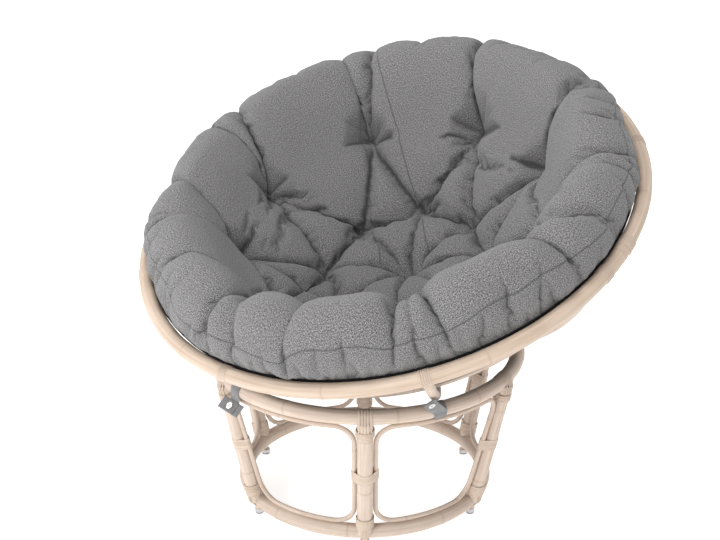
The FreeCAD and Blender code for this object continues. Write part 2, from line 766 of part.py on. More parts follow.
def at_tufts(make):
    """Shapes that make(seat_r, depth, hollow_r) builds at the bottom of the bowl, at each tuft."""
    shapes = []
    for polar, depth, hollow_r, azimuths in TUFT_RINGS:
        shape = turned(make(seat_distance(polar), depth, hollow_r), -polar, ORIGIN, Vector(0, 1, 0))
        shapes += [turned(shape, bowl_azimuth(azimuth)) for azimuth in azimuths]
    return shapes


def creases():
    """Cutters of the creases that run from the outer tufts up the seat and over the crown."""
    polar = TUFT_RINGS[-1][0]
    centre = cushion_point(CROWN_R, CROWN_HEIGHT)
    path_r = CROWN_ROUND + CREASE_TUBE_D / 2 - CREASE_DEPTH
    start = math.radians(CREASE_END)
    slope = math.radians(DISH_SLOPE)
    low = centre + Vector(math.cos(start), 0, math.sin(start)) * path_r
    section = Part.Wire([Part.makeCircle(CREASE_TUBE_D / 2, low, Vector(-math.sin(start), 0, math.cos(start)))])
    over = Part.Face(section).revolve(centre, Vector(0, -1, 0), 90 + DISH_SLOPE - CREASE_END)
    crest = centre + Vector(-math.sin(slope), 0, math.cos(slope)) * path_r
    down = Vector(-math.cos(slope), 0, -math.sin(slope))
    across = Vector(math.cos(math.radians(polar)), 0, math.sin(math.radians(polar)))
    foot = crest - down * (crest.dot(across) / down.dot(across))
    cutter = over.fuse(cylinder_between(foot, crest, CREASE_TUBE_D / 2))
    return [turned(cutter, bowl_azimuth(azimuth)) for azimuth in CREASE_AZIMUTHS]


def build_cushion():
    """Tufted cushion, its underside cover and its tufting cords."""
    bores = at_tufts(lambda seat_r, depth, hollow_r: tuft_tie(seat_r, depth, FIT))
    body = cushion_body()
    for cutter in at_tufts(tuft_pit) + creases() + bores:
        body = body.cut(cutter)
    export("cushion", into_place(body))
    ties = at_tufts(lambda seat_r, depth, hollow_r: tuft_tie(seat_r, depth))
    export("tuft_ties", into_place(group(ties)))
    outer, bottom, seam = underside_edges(0.0)
    inner, inner_bottom, inner_seam = underside_edges(UNDERSIDE_T)
    skin = revolve_edges(outer + inner + [line(bottom, inner_bottom), line(seam, inner_seam)])
    export("cushion_underside", into_place(skin))


# Leather straps: a band round the top ring's pole, with a tongue that the tab snaps onto

def strap_face():
    """Distance of a band's outer face from the Z axis."""
    return TOP_RING_R + TOP_RING_POLE_D / 2 + STRAP_CLEAR + STRAP_T


def lean_clear_of_ribs(strap):
    """Least outward lean that keeps the top corner of a rising tongue clear of the ribs at any tilt."""
    turn = math.radians(strap[3])
    below, length = strap[5:7]
    rise = length * math.cos(turn) + STRAP_W * (1 - below) * math.sin(turn)
    aside = length * math.sin(turn) - STRAP_W * (1 - below) * math.cos(turn)
    reach = RIB_SPHERE_R + RIB_D / 2 + STRAP_RIB_CLEAR
    drop = bowl_centre().z - TOP_RING_Z
    face = strap_face()
    need = (reach ** 2 - face ** 2 - aside ** 2 - drop ** 2 - rise ** 2) / (2 * rise)
    return math.degrees(math.atan2(drop, face) + math.asin(need / math.hypot(face, drop)))


def on_ring(strap, shape):
    """Move a shape of a tongue, built along Z with its face in the YZ plane, to its strap."""
    azimuth, along, above, turn, lean = strap[:5]
    shape = turned(shape, turn, ORIGIN, Vector(1, 0, 0))
    shape = turned(shape, lean_clear_of_ribs(strap) if lean is None else lean, ORIGIN, Vector(0, 1, 0))
    return turned(moved(shape, Vector(strap_face(), along, TOP_RING_Z + above)), azimuth)


def strap_sheet(strap, face, start, end):
    """Flat piece of strap leather, from start to end along the tongue."""
    below = strap[5]
    return Part.makeBox(STRAP_T, STRAP_W, end - start, Vector(face, -STRAP_W * below, start))


def strap_band(strap):
    """Band round the pole, with its tongue and the neck that the tongue hangs on."""
    azimuth, above, length = strap[0], strap[2], strap[6]
    pole = top_torus(STRAP_CLEAR)
    slab = Part.makeBox(4 * TOP_RING_POLE_D, STRAP_W, 4 * TOP_RING_POLE_D)
    slab.translate(Vector(TOP_RING_R - 2 * TOP_RING_POLE_D, -STRAP_W / 2, TOP_RING_Z - 2 * TOP_RING_POLE_D))
    band = top_torus(STRAP_CLEAR + STRAP_T).common(slab)
    if above < 0:
        low = Vector(TOP_RING_R + TOP_RING_POLE_D / 2 + STRAP_CLEAR, -STRAP_W / 2, TOP_RING_Z + above - STRAP_T)
        band = band.fuse(Part.makeBox(STRAP_T, STRAP_W, STRAP_T - above, low))
    tongue = on_ring(strap, strap_sheet(strap, -STRAP_T, -TONGUE_ROOT, length))
    return turned(band, azimuth).fuse(tongue).cut(pole)


def snap_bar(strap, diameter, start, end):
    """Round bar through the place of a snap."""
    below, snap = strap[5], strap[8]
    middle = Vector(start, STRAP_W * (0.5 - below), snap)
    return Part.makeCylinder(diameter / 2, end - start, middle, Vector(1, 0, 0))


def build_straps():
    """Band, tab, snap cap and snap stud of each strap."""
    for name, strap in STRAPS.items():
        length, tab_start = strap[6:8]
        cap_face = TAB_CLEAR + STRAP_T
        socket = snap_bar(strap, SNAP_SOCKET_D, 0, cap_face + SNAP_CAP_H)
        tab = strap_sheet(strap, TAB_CLEAR, tab_start, length).cut(socket)
        cap = snap_bar(strap, SNAP_CAP_D, cap_face, cap_face + SNAP_CAP_H).cut(socket)
        stud = snap_bar(strap, SNAP_STUD_D, 0, SNAP_STUD_H)
        export(name + "_band", strap_band(strap))
        export(name + "_tab", on_ring(strap, tab))
        export(name + "_snap_cap", on_ring(strap, cap))
        export(name + "_snap_stud", on_ring(strap, stud))


os.makedirs("parts", exist_ok=True)
build_base_poles()
build_feet()
build_loops()
build_base_strips()
build_base_windings()
build_bowl()
build_rim_lashings()
build_cushion()
build_straps()
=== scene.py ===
"""Looks of a papasan chair: a rattan bowl on a ring base, a tufted cushion and two leather straps.

Everything is in metres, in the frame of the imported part: the origin is on the floor at the middle
of the base, +Z is up and the bowl opens towards -Y. Angles are in degrees unless a name says so.
"""

import functools
import json
import logging
import math
import random
from dataclasses import dataclass
from enum import Enum

import bpy
import numpy as np
from mathutils import Matrix, Vector

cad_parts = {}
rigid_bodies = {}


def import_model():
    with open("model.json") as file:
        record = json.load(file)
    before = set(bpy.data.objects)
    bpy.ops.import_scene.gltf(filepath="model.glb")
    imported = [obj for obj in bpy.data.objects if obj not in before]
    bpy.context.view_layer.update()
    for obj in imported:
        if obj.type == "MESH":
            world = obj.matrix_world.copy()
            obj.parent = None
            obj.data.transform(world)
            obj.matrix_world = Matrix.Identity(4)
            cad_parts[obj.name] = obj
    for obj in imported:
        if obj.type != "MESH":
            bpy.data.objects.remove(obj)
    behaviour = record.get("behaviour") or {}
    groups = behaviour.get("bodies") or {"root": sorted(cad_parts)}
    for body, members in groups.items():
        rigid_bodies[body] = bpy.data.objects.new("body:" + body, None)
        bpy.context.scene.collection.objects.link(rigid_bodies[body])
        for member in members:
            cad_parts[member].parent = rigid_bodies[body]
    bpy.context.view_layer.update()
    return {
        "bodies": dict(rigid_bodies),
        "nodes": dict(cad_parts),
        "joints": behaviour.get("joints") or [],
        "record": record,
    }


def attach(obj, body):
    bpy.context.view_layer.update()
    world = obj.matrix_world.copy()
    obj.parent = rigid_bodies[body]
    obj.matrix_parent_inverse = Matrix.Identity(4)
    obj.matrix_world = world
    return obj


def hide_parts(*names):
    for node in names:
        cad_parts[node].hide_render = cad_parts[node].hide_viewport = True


MM = 0.001
WELD = 1e-6
LOG = logging.getLogger("papasan")


class Slot(Enum):
    """Material slots of the part, as its record names them."""

    RIM = "rattan_rim"
    POLE = "rattan_pole"
    STRIP = "rattan_strip"
    DOWEL = "dowel_wood"
    CUP = "foot_metal"
    PAD = "foot_pad"
    NAIL = "nail_steel"
    WEAVE = "cushion_weave"
    UNDERSIDE = "underside_cloth"
    CORD = "tuft_cord"
    LEATHER = "strap_leather"
    SNAP = "snap_metal"


# Shapes as arrays of points


def azimuth_turn(angle: float) -> np.ndarray:
    """Matrix that turns points about +Z by an angle in degrees."""
    a = math.radians(angle)
    return np.array([[math.cos(a), -math.sin(a), 0], [math.sin(a), math.cos(a), 0], [0, 0, 1]])


def unit(vectors: np.ndarray) -> np.ndarray:
    """Vectors of length one."""
    return vectors / np.maximum(np.linalg.norm(vectors, axis=-1, keepdims=True), 1e-12)


def running_length(path: np.ndarray) -> np.ndarray:
    """Distance travelled along a path at each of its points."""
    steps = np.linalg.norm(np.diff(path, axis=0), axis=1)
    return np.concatenate([[0.0], np.cumsum(steps)])


def points_along(path: np.ndarray, wanted: np.ndarray) -> np.ndarray:
    """Points of a path at the wanted distances from its start."""
    along = running_length(path)
    return np.stack([np.interp(wanted, along, column) for column in path.T], axis=1)


def even_path(path: np.ndarray, step: float) -> np.ndarray:
    """Lay the points of a path evenly.

    Args:
        path: Points of any number of dimensions.
        step: Wanted distance between two points.

    Returns:
        The same path with its points about a step apart, from end to end.
    """
    length = running_length(path)[-1]
    count = max(2, int(round(length / step)) + 1)
    return points_along(path, np.linspace(0.0, length, count))


def bend(
    start: np.ndarray, start_way: np.ndarray, end: np.ndarray, end_way: np.ndarray, count: int
) -> np.ndarray:
    """Smooth corner between two points with given directions.

    Args:
        start: First point.
        start_way: Direction there.
        end: Last point.
        end_way: Direction there.
        count: Number of points.

    Returns:
        The points of the corner.
    """
    reach = 0.39 * float(np.linalg.norm(end - start))
    t = np.linspace(0.0, 1.0, count)[:, None]
    one, two = start + start_way * reach, end - end_way * reach
    return start * (1 - t) ** 3 + 3 * one * t * (1 - t) ** 2 + 3 * two * t**2 * (1 - t) + end * t**3


def taut_outline(points: np.ndarray) -> np.ndarray:
    """Convex outline round flat points, anticlockwise, as a tight cord would lie.

    Args:
        points: Rows of (x, y).

    Returns:
        The corners of the outline, the first one not repeated.
    """
    order = sorted(map(tuple, points))
    halves = []
    for row in (order, order[::-1]):
        chain: list[tuple[float, float]] = []
        for p in row:
            while len(chain) > 1 and (
                (chain[-1][0] - chain[-2][0]) * (p[1] - chain[-2][1])
                - (chain[-1][1] - chain[-2][1]) * (p[0] - chain[-2][0])
            ) <= 1e-14:
                chain.pop()
            chain.append(p)
        halves.append(chain[:-1])
    return np.array(halves[0] + halves[1])


def circle_points(x: float, y: float, radius: float, count: int = 72) -> np.ndarray:
    """Points on a circle in the plane."""
    a = np.linspace(0.0, 2 * math.pi, count, endpoint=False)
    return np.stack([x + radius * np.cos(a), y + radius * np.sin(a)], axis=1)


def level_ring(radius: float | np.ndarray, height: float | np.ndarray, angles: np.ndarray) -> np.ndarray:
    """Points round +Z at angles in radians; the radius and the height may vary."""
    ring = np.broadcast_arrays(radius * np.cos(angles), radius * np.sin(angles), height)
    return np.stack(ring, axis=-1)


def round_section(radius: float, sides: int) -> np.ndarray:
    """Closed round section, its first point repeated at the end."""
    a = np.linspace(0.0, 2 * math.pi, sides + 1)
    return np.stack([radius * np.cos(a), radius * np.sin(a)], axis=1)


def cane_section(width: float, thick: float) -> np.ndarray:
    """Section of a split cane, flat below and crowned on top.

    Args:
        width: Width of the cane.
        thick: Its thickness.

    Returns:
        The section's points, the first one repeated at the end.
    """
    half = width / 2
    below = [(-half, -thick * 0.35), (0.0, -thick * 0.5), (half, -thick * 0.35)]
    above = [(half * 0.92, thick * 0.12), (half * 0.5, thick * 0.42), (0.0, thick * 0.5)]
    return np.array(below + above + [(-x, y) for x, y in above[1::-1]] + below[:1])


def band_section(width: float, thick: float) -> np.ndarray:
    """Section of a leather band with softened edges.

    Args:
        width: Width of the band.
        thick: Its thickness.

    Returns:
        The section's points, the first one repeated at the end.
    """
    half, edge = width / 2, thick / 2
    across = np.linspace(-half + edge, half - edge, 7)
    below = [(x, -edge) for x in across]
    above = [(x, edge) for x in across[::-1]]
    right = [(half - edge * 0.3, -edge * 0.75), (half, 0.0), (half - edge * 0.3, edge * 0.75)]
    left = [(-x, y) for x, y in right[::-1]]
    return np.array(below + right + above + left + below[:1])


# Meshes


def choose(obj: bpy.types.Object) -> None:
    """Select one object alone and make it the active one.

    Args:
        obj: The object.
    """
    bpy.ops.object.select_all(action="DESELECT")
    obj.select_set(True)
    bpy.context.view_layer.objects.active = obj


def edit(obj: bpy.types.Object) -> None:
    """Open one object alone in edit mode."""
    choose(obj)
    bpy.ops.object.mode_set(mode="EDIT")


def close_edit() -> None:
    """Leave edit mode with nothing selected."""
    bpy.ops.object.mode_set(mode="OBJECT")
    bpy.ops.object.select_all(action="DESELECT")


def lay_grid(name: str, points: np.ndarray, uv: np.ndarray) -> bpy.types.Object:
    """Add a grid and lay its corners on rows of points.

    Args:
        name: Name of the piece.
        points: Array of rows, columns and (x, y, z).
        uv: Array of rows, columns and (u, v), in metres.

    Returns:
        The new piece, with its UV map filled.
    """
    rows, columns = points.shape[:2]
    bpy.ops.object.select_all(action="DESELECT")
    bpy.ops.mesh.primitive_grid_add(x_subdivisions=columns - 1, y_subdivisions=rows - 1, size=1.0)
    obj = bpy.context.active_object
    obj.name = obj.data.name = name
    mesh = obj.data
    mesh.vertices.foreach_set("co", points.astype(np.float32).ravel())
    corner = np.zeros(len(mesh.loops), np.int32)
    mesh.loops.foreach_get("vertex_index", corner)
    mesh.uv_layers.active.data.foreach_set("uv", uv.reshape(-1, 2)[corner].astype(np.float32).ravel())
    mesh.update()
    obj.select_set(False)
    return obj


def apply(obj: bpy.types.Object, modifier: bpy.types.Modifier) -> None:
    """Apply a modifier of a piece.

    Args:
        obj: The piece.
        modifier: One of its modifiers.
    """
    choose(obj)
    bpy.ops.object.modifier_apply(modifier=modifier.name)
    obj.select_set(False)


def close_shell(obj: bpy.types.Object, fill: bool = True) -> bpy.types.Object:
    """Weld the long seam of a rolled-up grid and point its faces outwards.

    Args:
        obj: The piece.
        fill: Whether to fill its ends too.

    Returns:
        The same piece.
    """
    edit(obj)
    bpy.ops.mesh.select_all(action="SELECT")
    bpy.ops.mesh.remove_doubles(threshold=WELD)
    if fill:
        bpy.ops.mesh.select_all(action="DESELECT")
        bpy.ops.mesh.select_mode(type="EDGE")
        bpy.ops.mesh.select_non_manifold()
        bpy.ops.mesh.fill_holes(sides=0)
        bpy.ops.mesh.select_all(action="SELECT")
    bpy.ops.mesh.normals_make_consistent(inside=False)
    close_edit()
    return obj


def smooth(obj: bpy.types.Object, angle: float = 40.0) -> bpy.types.Object:
    """Shade a piece smooth.

    Args:
        obj: The piece.
        angle: Edges sharper than this stay sharp, in degrees.

    Returns:
        The same piece.
    """
    choose(obj)
    bpy.ops.object.shade_smooth_by_angle(angle=math.radians(angle))
    obj.select_set(False)
    return obj


def sweep(
    name: str, path: np.ndarray, outward: np.ndarray, section: np.ndarray, swell: np.ndarray | None = None
) -> bpy.types.Object:
    """Carry a closed section along a path.

    Args:
        name: Name of the piece.
        path: Points of the middle line.
        outward: Direction of the section's second axis, one for all points or one each.
        section: Closed section as (across, outward) points, the first repeated at the end.
        swell: Share by which the section grows at each point of the path.

    Returns:
        The closed piece; its UV map runs round the section and along the path, in metres.
    """
    ways = unit(np.gradient(path, axis=0))
    side = unit(np.cross(ways, np.broadcast_to(outward, path.shape)))
    out = np.cross(side, ways)
    grow = np.ones(len(path)) if swell is None else 1.0 + swell
    flat = section[None, :, :] * grow[:, None, None]
    points = path[:, None, :] + flat[:, :, :1] * side[:, None, :] + flat[:, :, 1:] * out[:, None, :]
    around = running_length(section)
    along = running_length(path)
    uv = np.stack(np.broadcast_arrays(around[None, :], along[:, None]), axis=2)
    return smooth(close_shell(lay_grid(name, points, uv)), 50.0)


def mark_scars(obj: bpy.types.Object, path: np.ndarray, strength: np.ndarray) -> None:
    """Write how strongly each corner of a pole shows a leaf scar.

    Args:
        obj: The pole.
        path: Points of its middle line.
        strength: Strength of the scars at each of these points.
    """
    place = read_points(obj)
    scar = np.zeros(len(place), np.float32)
    batch = 4000
    for first in range(0, len(place), batch):
        part = place[first:first + batch]
        apart = ((part[:, None, :] - path[None, :, :]) ** 2).sum(axis=2)
        scar[first:first + batch] = strength[np.argmin(apart, axis=1)]
    obj.data.attributes.new("scar", "FLOAT", "POINT").data.foreach_set("value", scar)


def pole(
    name: str, path: np.ndarray, up: np.ndarray, diameter: float, seed: int, sides: int = 28,
    spacing: float = 0.21
) -> bpy.types.Object:
    """Rattan pole with low swellings at its leaf scars.

    Args:
        name: Name of the piece.
        path: Points of the middle line.
        up: Direction that is never along the pole.
        diameter: Plain diameter of the pole.
        seed: Chooses where the scars are.
        sides: Number of faces round the pole.
        spacing: Usual distance between two scars.

    Returns:
        The closed pole, with the scars' strength in an attribute.
    """
    rng = random.Random(seed)
    length = running_length(path)[-1]
    scars = [rng.uniform(0.25, 0.9) * spacing]
    while scars[-1] < length:
        scars.append(scars[-1] + spacing * rng.uniform(0.75, 1.3))
    near = np.array([-9.0, -6.0, -3.5, -1.6, 0.0, 1.6, 3.5, 6.0, 9.0]) * MM
    stops = set(np.linspace(0.0, length, max(8, int(length / 0.008))))
    for scar in scars[:-1]:
        stops.update(scar + near)
    wanted = np.array(sorted(s for s in stops if 0.0 <= s <= length))
    wanted = wanted[np.concatenate([[True], np.diff(wanted) > 0.0006])]
    wanted[-1] = length
    line = points_along(path, wanted)
    swell, strength = np.zeros(len(wanted)), np.zeros(len(wanted))
    for scar in scars[:-1]:
        away = np.abs(wanted - scar)
        swell += 0.022 * np.exp(-((away / 0.007) ** 2)) - 0.014 * np.exp(-((away / 0.0012) ** 2))
        strength = np.maximum(strength, np.exp(-((away / 0.0022) ** 2)))
    swell += 0.006 * np.sin(wanted * 37.0 + seed) + 0.004 * np.sin(wanted * 91.0 + 2 * seed)
    obj = sweep(name, line, up, round_section(diameter / 2, sides), swell)
    mark_scars(obj, line, strength)
    return obj


def turned_copy(obj: bpy.types.Object, turn: np.ndarray, name: str) -> bpy.types.Object:
    """Copy a piece and its mesh, and turn the copy about the origin.

    Args:
        obj: The piece.
        turn: Matrix of the turn.
        name: Name of the copy.

    Returns:
        The copy.
    """
    copy = obj.copy()
    copy.data = obj.data.copy()
    copy.name = copy.data.name = name
    bpy.context.scene.collection.objects.link(copy)
    copy.data.transform(Matrix(turn.tolist()).to_4x4())
    return copy


def join(name: str, pieces: list[bpy.types.Object]) -> bpy.types.Object:
    """Make one piece of several.

    Args:
        name: Name of the whole.
        pieces: Its parts.

    Returns:
        The whole.
    """
    choose(pieces[0])
    for piece in pieces[1:]:
        piece.select_set(True)
    bpy.ops.object.join()
    joined = bpy.context.active_object
    joined.name = joined.data.name = name
    joined.select_set(False)
    return joined


def ring_cutter(radius: float, height: float, diameter: float, segments: int) -> bpy.types.Object:
    """Add a torus a hair thicker than a bent pole, for coping other poles to it.

    Args:
        radius: Radius of the pole's middle line.
        height: Height of the middle line.
        diameter: Diameter of the pole.
        segments: Number of faces round the ring.

    Returns:
        The torus.
    """
    bpy.ops.mesh.primitive_torus_add(
        major_radius=radius, minor_radius=diameter / 2 + 0.1 * MM, major_segments=segments, minor_segments=40,
        location=(0.0, 0.0, height)
    )
    return bpy.context.active_object


def cut_with(obj: bpy.types.Object, cutter: bpy.types.Object) -> None:
    """Cut a piece with another piece's shape.

    Args:
        obj: The piece.
        cutter: The other piece.
    """
    cope = obj.modifiers.new("cope", "BOOLEAN")
    cope.operation, cope.object, cope.solver = "DIFFERENCE", cutter, "EXACT"
    apply(obj, cope)


def drop(obj: bpy.types.Object) -> None:
    """Remove a helper object."""
    bpy.data.objects.remove(obj, do_unlink=True)


def round_all(name: str, pieces: list[bpy.types.Object], turns: list[float]) -> bpy.types.Object:
    """Copy pieces that were made once to every turn about +Z, as one piece.

    Args:
        name: Name of the whole.
        pieces: What is repeated; these pieces are used up.
        turns: Angle of each copy in degrees.

    Returns:
        The whole.
    """
    one = join(name + "_one", pieces)
    copies = [turned_copy(one, azimuth_turn(turn), name + "_copy") for turn in turns]
    drop(one)
    return join(name, copies)


def read_points(obj: bpy.types.Object) -> np.ndarray:
    """Read where a mesh's corners are.

    Args:
        obj: The piece.

    Returns:
        Rows of (x, y, z).
    """
    place = np.zeros(len(obj.data.vertices) * 3, np.float32)
    obj.data.vertices.foreach_get("co", place)
    return place.reshape(-1, 3).astype(float)


def write_points(obj: bpy.types.Object, points: np.ndarray) -> None:
    """Move a mesh's corners to the given places."""
    obj.data.vertices.foreach_set("co", points.astype(np.float32).ravel())
    obj.data.update()


# Finishes

Colour = tuple[float, float, float]
Socket = bpy.types.NodeSocket
Feed = Socket | float | Colour


class Wiring:
    """Nodes of one material, added and linked by short calls."""

    def __init__(self, name: str) -> None:
        """Start a material that holds only its shader.

        Args:
            name: Name of the material.
        """
        self.material = bpy.data.materials.new(name)
        self.material.use_nodes = True
        self.tree = self.material.node_tree
        self.shader = self.tree.nodes["Principled BSDF"]

    def _feed(self, socket: Socket, value: Feed) -> None:
        """Link a socket, or set its plain value.

        Args:
            socket: The input to feed.
            value: What goes into it.
        """
        if isinstance(value, bpy.types.NodeSocket):
            self.tree.links.new(value, socket)
        elif socket.type == "RGBA":
            socket.default_value = (*value, 1.0)
        else:
            socket.default_value = value

    def node(self, kind: str, feeds: dict[str | int, Feed], **options: str) -> bpy.types.Node:
        """Add a node.

        Args:
            kind: Its type, without the prefix that all have.
            feeds: What goes into its inputs, by name or by number.
            options: Its options.

        Returns:
            The node.
        """
        node = self.tree.nodes.new("ShaderNode" + kind)
        for option, choice in options.items():
            setattr(node, option, choice)
        for key, value in feeds.items():
            self._feed(node.inputs[key], value)
        return node

    def set(self, **values: Feed) -> None:
        """Feed the shader's sockets; an underscore stands for a space."""
        for name, value in values.items():
            self._feed(self.shader.inputs[name.replace("_", " ")], value)

    def coordinates(
        self, kind: str, scale: Colour = (1.0, 1.0, 1.0), turn: Colour = (0.0, 0.0, 0.0)
    ) -> Socket:
        """Coordinates of a kind, scaled, and turned by radians."""
        source = self.node("TexCoord", {}).outputs[kind]
        return self.node("Mapping", {"Vector": source, "Scale": scale, "Rotation": turn}).outputs["Vector"]

    def attribute(self, name: str) -> Socket:
        """Value of a named attribute."""
        return self.node("Attribute", {}, attribute_name=name).outputs["Fac"]

    def noise(
        self, where: Socket, scale: float, detail: float = 2.0, rough: float = 0.5, twist: float = 0.0
    ) -> Socket:
        """Noise between 0 and 1."""
        feeds = {"Vector": where, "Scale": scale, "Detail": detail, "Roughness": rough, "Distortion": twist}
        return self.node("TexNoise", feeds).outputs["Fac"]

    def cells(self, where: Socket, scale: float) -> Socket:
        """Distance to the middle of the nearest cell of a cell pattern."""
        return self.node("TexVoronoi", {"Vector": where, "Scale": scale}).outputs["Distance"]

    def waves(self, where: Socket, scale: float, axis: str, twist: float) -> Socket:
        """Even waves along one axis, a little twisted."""
        feeds = {"Vector": where, "Scale": scale, "Distortion": twist}
        return self.node("TexWave", feeds, bands_direction=axis).outputs["Fac"]

    def ramp(self, value: Socket, *stops: tuple[float, Colour]) -> Socket:
        """Pick colours by a value.

        Args:
            value: The value.
            stops: Values with their colours.

        Returns:
            The colour.
        """
        node = self.node("ValToRGB", {"Fac": value})
        elements = node.color_ramp.elements
        while len(elements) < len(stops):
            elements.new(0.5)
        for element, (at, colour) in zip(elements, stops):
            element.position, element.color = at, (*colour, 1.0)
        return node.outputs["Color"]

    def spread(
        self, value: Socket, low: float, high: float, to_low: float = 0.0, to_high: float = 1.0
    ) -> Socket:
        """A value stretched from one range to another, and held there."""
        feeds = {"Value": value, "From Min": low, "From Max": high, "To Min": to_low, "To Max": to_high}
        return self.node("MapRange", feeds).outputs["Result"]

    def mix(self, share: Socket | float, one: Socket | Colour, two: Socket | Colour) -> Socket:
        """Two colours mixed."""
        return self.node("Mix", {0: share, 6: one, 7: two}, data_type="RGBA").outputs[2]

    def sum(self, kind: str, one: Socket | float, two: Socket | float) -> Socket:
        """Two values put together by a kind of sum."""
        return self.node("Math", {0: one, 1: two}, operation=kind).outputs[0]

    def times(self, value: Socket, factor: Socket | float) -> Socket:
        """A value times another, or times a number."""
        return self.sum("MULTIPLY", value, factor)

    def relief(self, height: Socket, deep: float) -> Socket:
        """Bumps of a depth in metres."""
        return self.node("Bump", {"Strength": 1.0, "Distance": deep, "Height": height}).outputs["Normal"]


def scaled(colour: Colour, factor: float, lift: float = 0.0) -> Colour:
    """A colour times a factor, lifted a little."""
    return tuple(min(1.0, c * factor + lift) for c in colour)


@dataclass(frozen=True)
class Rattan:
    """Whitewashed rattan, with its grain along the pole, fine pores and darker leaf scars."""

    name: str
    light: Colour
    dark: Colour
    scar: Colour
    rough: float = 0.5
    relief: float = 0.00025

    def make(self, scarred: bool = True) -> bpy.types.Material:
        """Build the material.

        Args:
            scarred: Whether the piece carries the leaf scars' attribute.

        Returns:
            The material, which reads the piece's UV map in metres.
        """
        w = Wiring(self.name)
        grain = w.noise(w.coordinates("UV", (520.0, 11.0, 1.0)), 1.0, 5.0, 0.62, 0.4)
        streak = w.noise(w.coordinates("UV", (130.0, 3.2, 1.0)), 1.0, 3.0, 0.55, 0.8)
        pores = w.noise(w.coordinates("UV", (2400.0, 150.0, 1.0)), 1.0, 2.0, 0.5)
        cloud = w.noise(w.coordinates("Object"), 9.0, 3.0, 0.6)
        wash = w.mix(w.spread(streak, 0.34, 0.66), self.dark, self.light)
        wash = w.mix(w.spread(grain, 0.42, 0.68, 0.0, 0.32), wash, self.dark)
        wash = w.mix(w.spread(cloud, 0.45, 0.75, 0.0, 0.45), wash, scaled(self.light, 1.1, 0.02))
        wash = w.mix(w.spread(pores, 0.66, 0.8, 0.0, 0.22), wash, self.scar)
        if scarred:
            share = w.times(w.attribute("scar"), w.spread(grain, 0.2, 0.7, 0.25, 0.75))
            wash = w.mix(share, wash, self.scar)
        height = w.sum("ADD", grain, w.times(pores, -0.35))
        w.set(
            Base_Color=wash, Roughness=w.spread(streak, 0.3, 0.7, self.rough - 0.06, self.rough + 0.1),
            Normal=w.relief(height, self.relief), Specular_IOR_Level=0.35,
        )
        return w.material


@dataclass(frozen=True)
class DowelWood:
    """Plain pale dowel wood with a faint grain up its length."""

    name: str
    light: Colour
    dark: Colour

    def make(self) -> bpy.types.Material:
        """Build the material.

        Returns:
            The material.
        """
        w = Wiring(self.name)
        grain = w.noise(w.coordinates("Object", (420.0, 420.0, 24.0)), 1.0, 4.0, 0.6, 0.5)
        tint = w.mix(w.spread(grain, 0.35, 0.7), self.light, self.dark)
        w.set(Base_Color=tint, Roughness=0.62, Normal=w.relief(grain, 0.0002), Specular_IOR_Level=0.3)
        return w.material


@dataclass(frozen=True)
class Metal:
    """Turned and brushed metal with light smudges."""

    name: str
    tint: Colour
    rough: float

    def make(self) -> bpy.types.Material:
        """Build the material.

        Returns:
            The material.
        """
        w = Wiring(self.name)
        lines = w.noise(w.coordinates("Object", (160.0, 160.0, 5200.0)), 1.0, 2.0, 0.5)
        smudge = w.noise(w.coordinates("Object"), 160.0, 3.0, 0.6)
        w.set(
            Base_Color=w.mix(w.spread(smudge, 0.4, 0.7), self.tint, scaled(self.tint, 0.8)), Metallic=1.0,
            Roughness=w.spread(lines, 0.3, 0.7, self.rough - 0.07, self.rough + 0.1),
            Normal=w.relief(lines, 0.00002),
        )
        return w.material


@dataclass(frozen=True)
class PadRubber:
    """Dull dark rubber of the floor pads."""

    name: str
    tint: Colour

    def make(self) -> bpy.types.Material:
        """Build the material.

        Returns:
            The material.
        """
        w = Wiring(self.name)
        grit = w.noise(w.coordinates("Object"), 900.0, 3.0, 0.6)
        tint = w.mix(w.spread(grit, 0.45, 0.75), self.tint, scaled(self.tint, 1.9, 0.01))
        w.set(Base_Color=tint, Roughness=0.85, Normal=w.relief(grit, 0.0001))
        return w.material


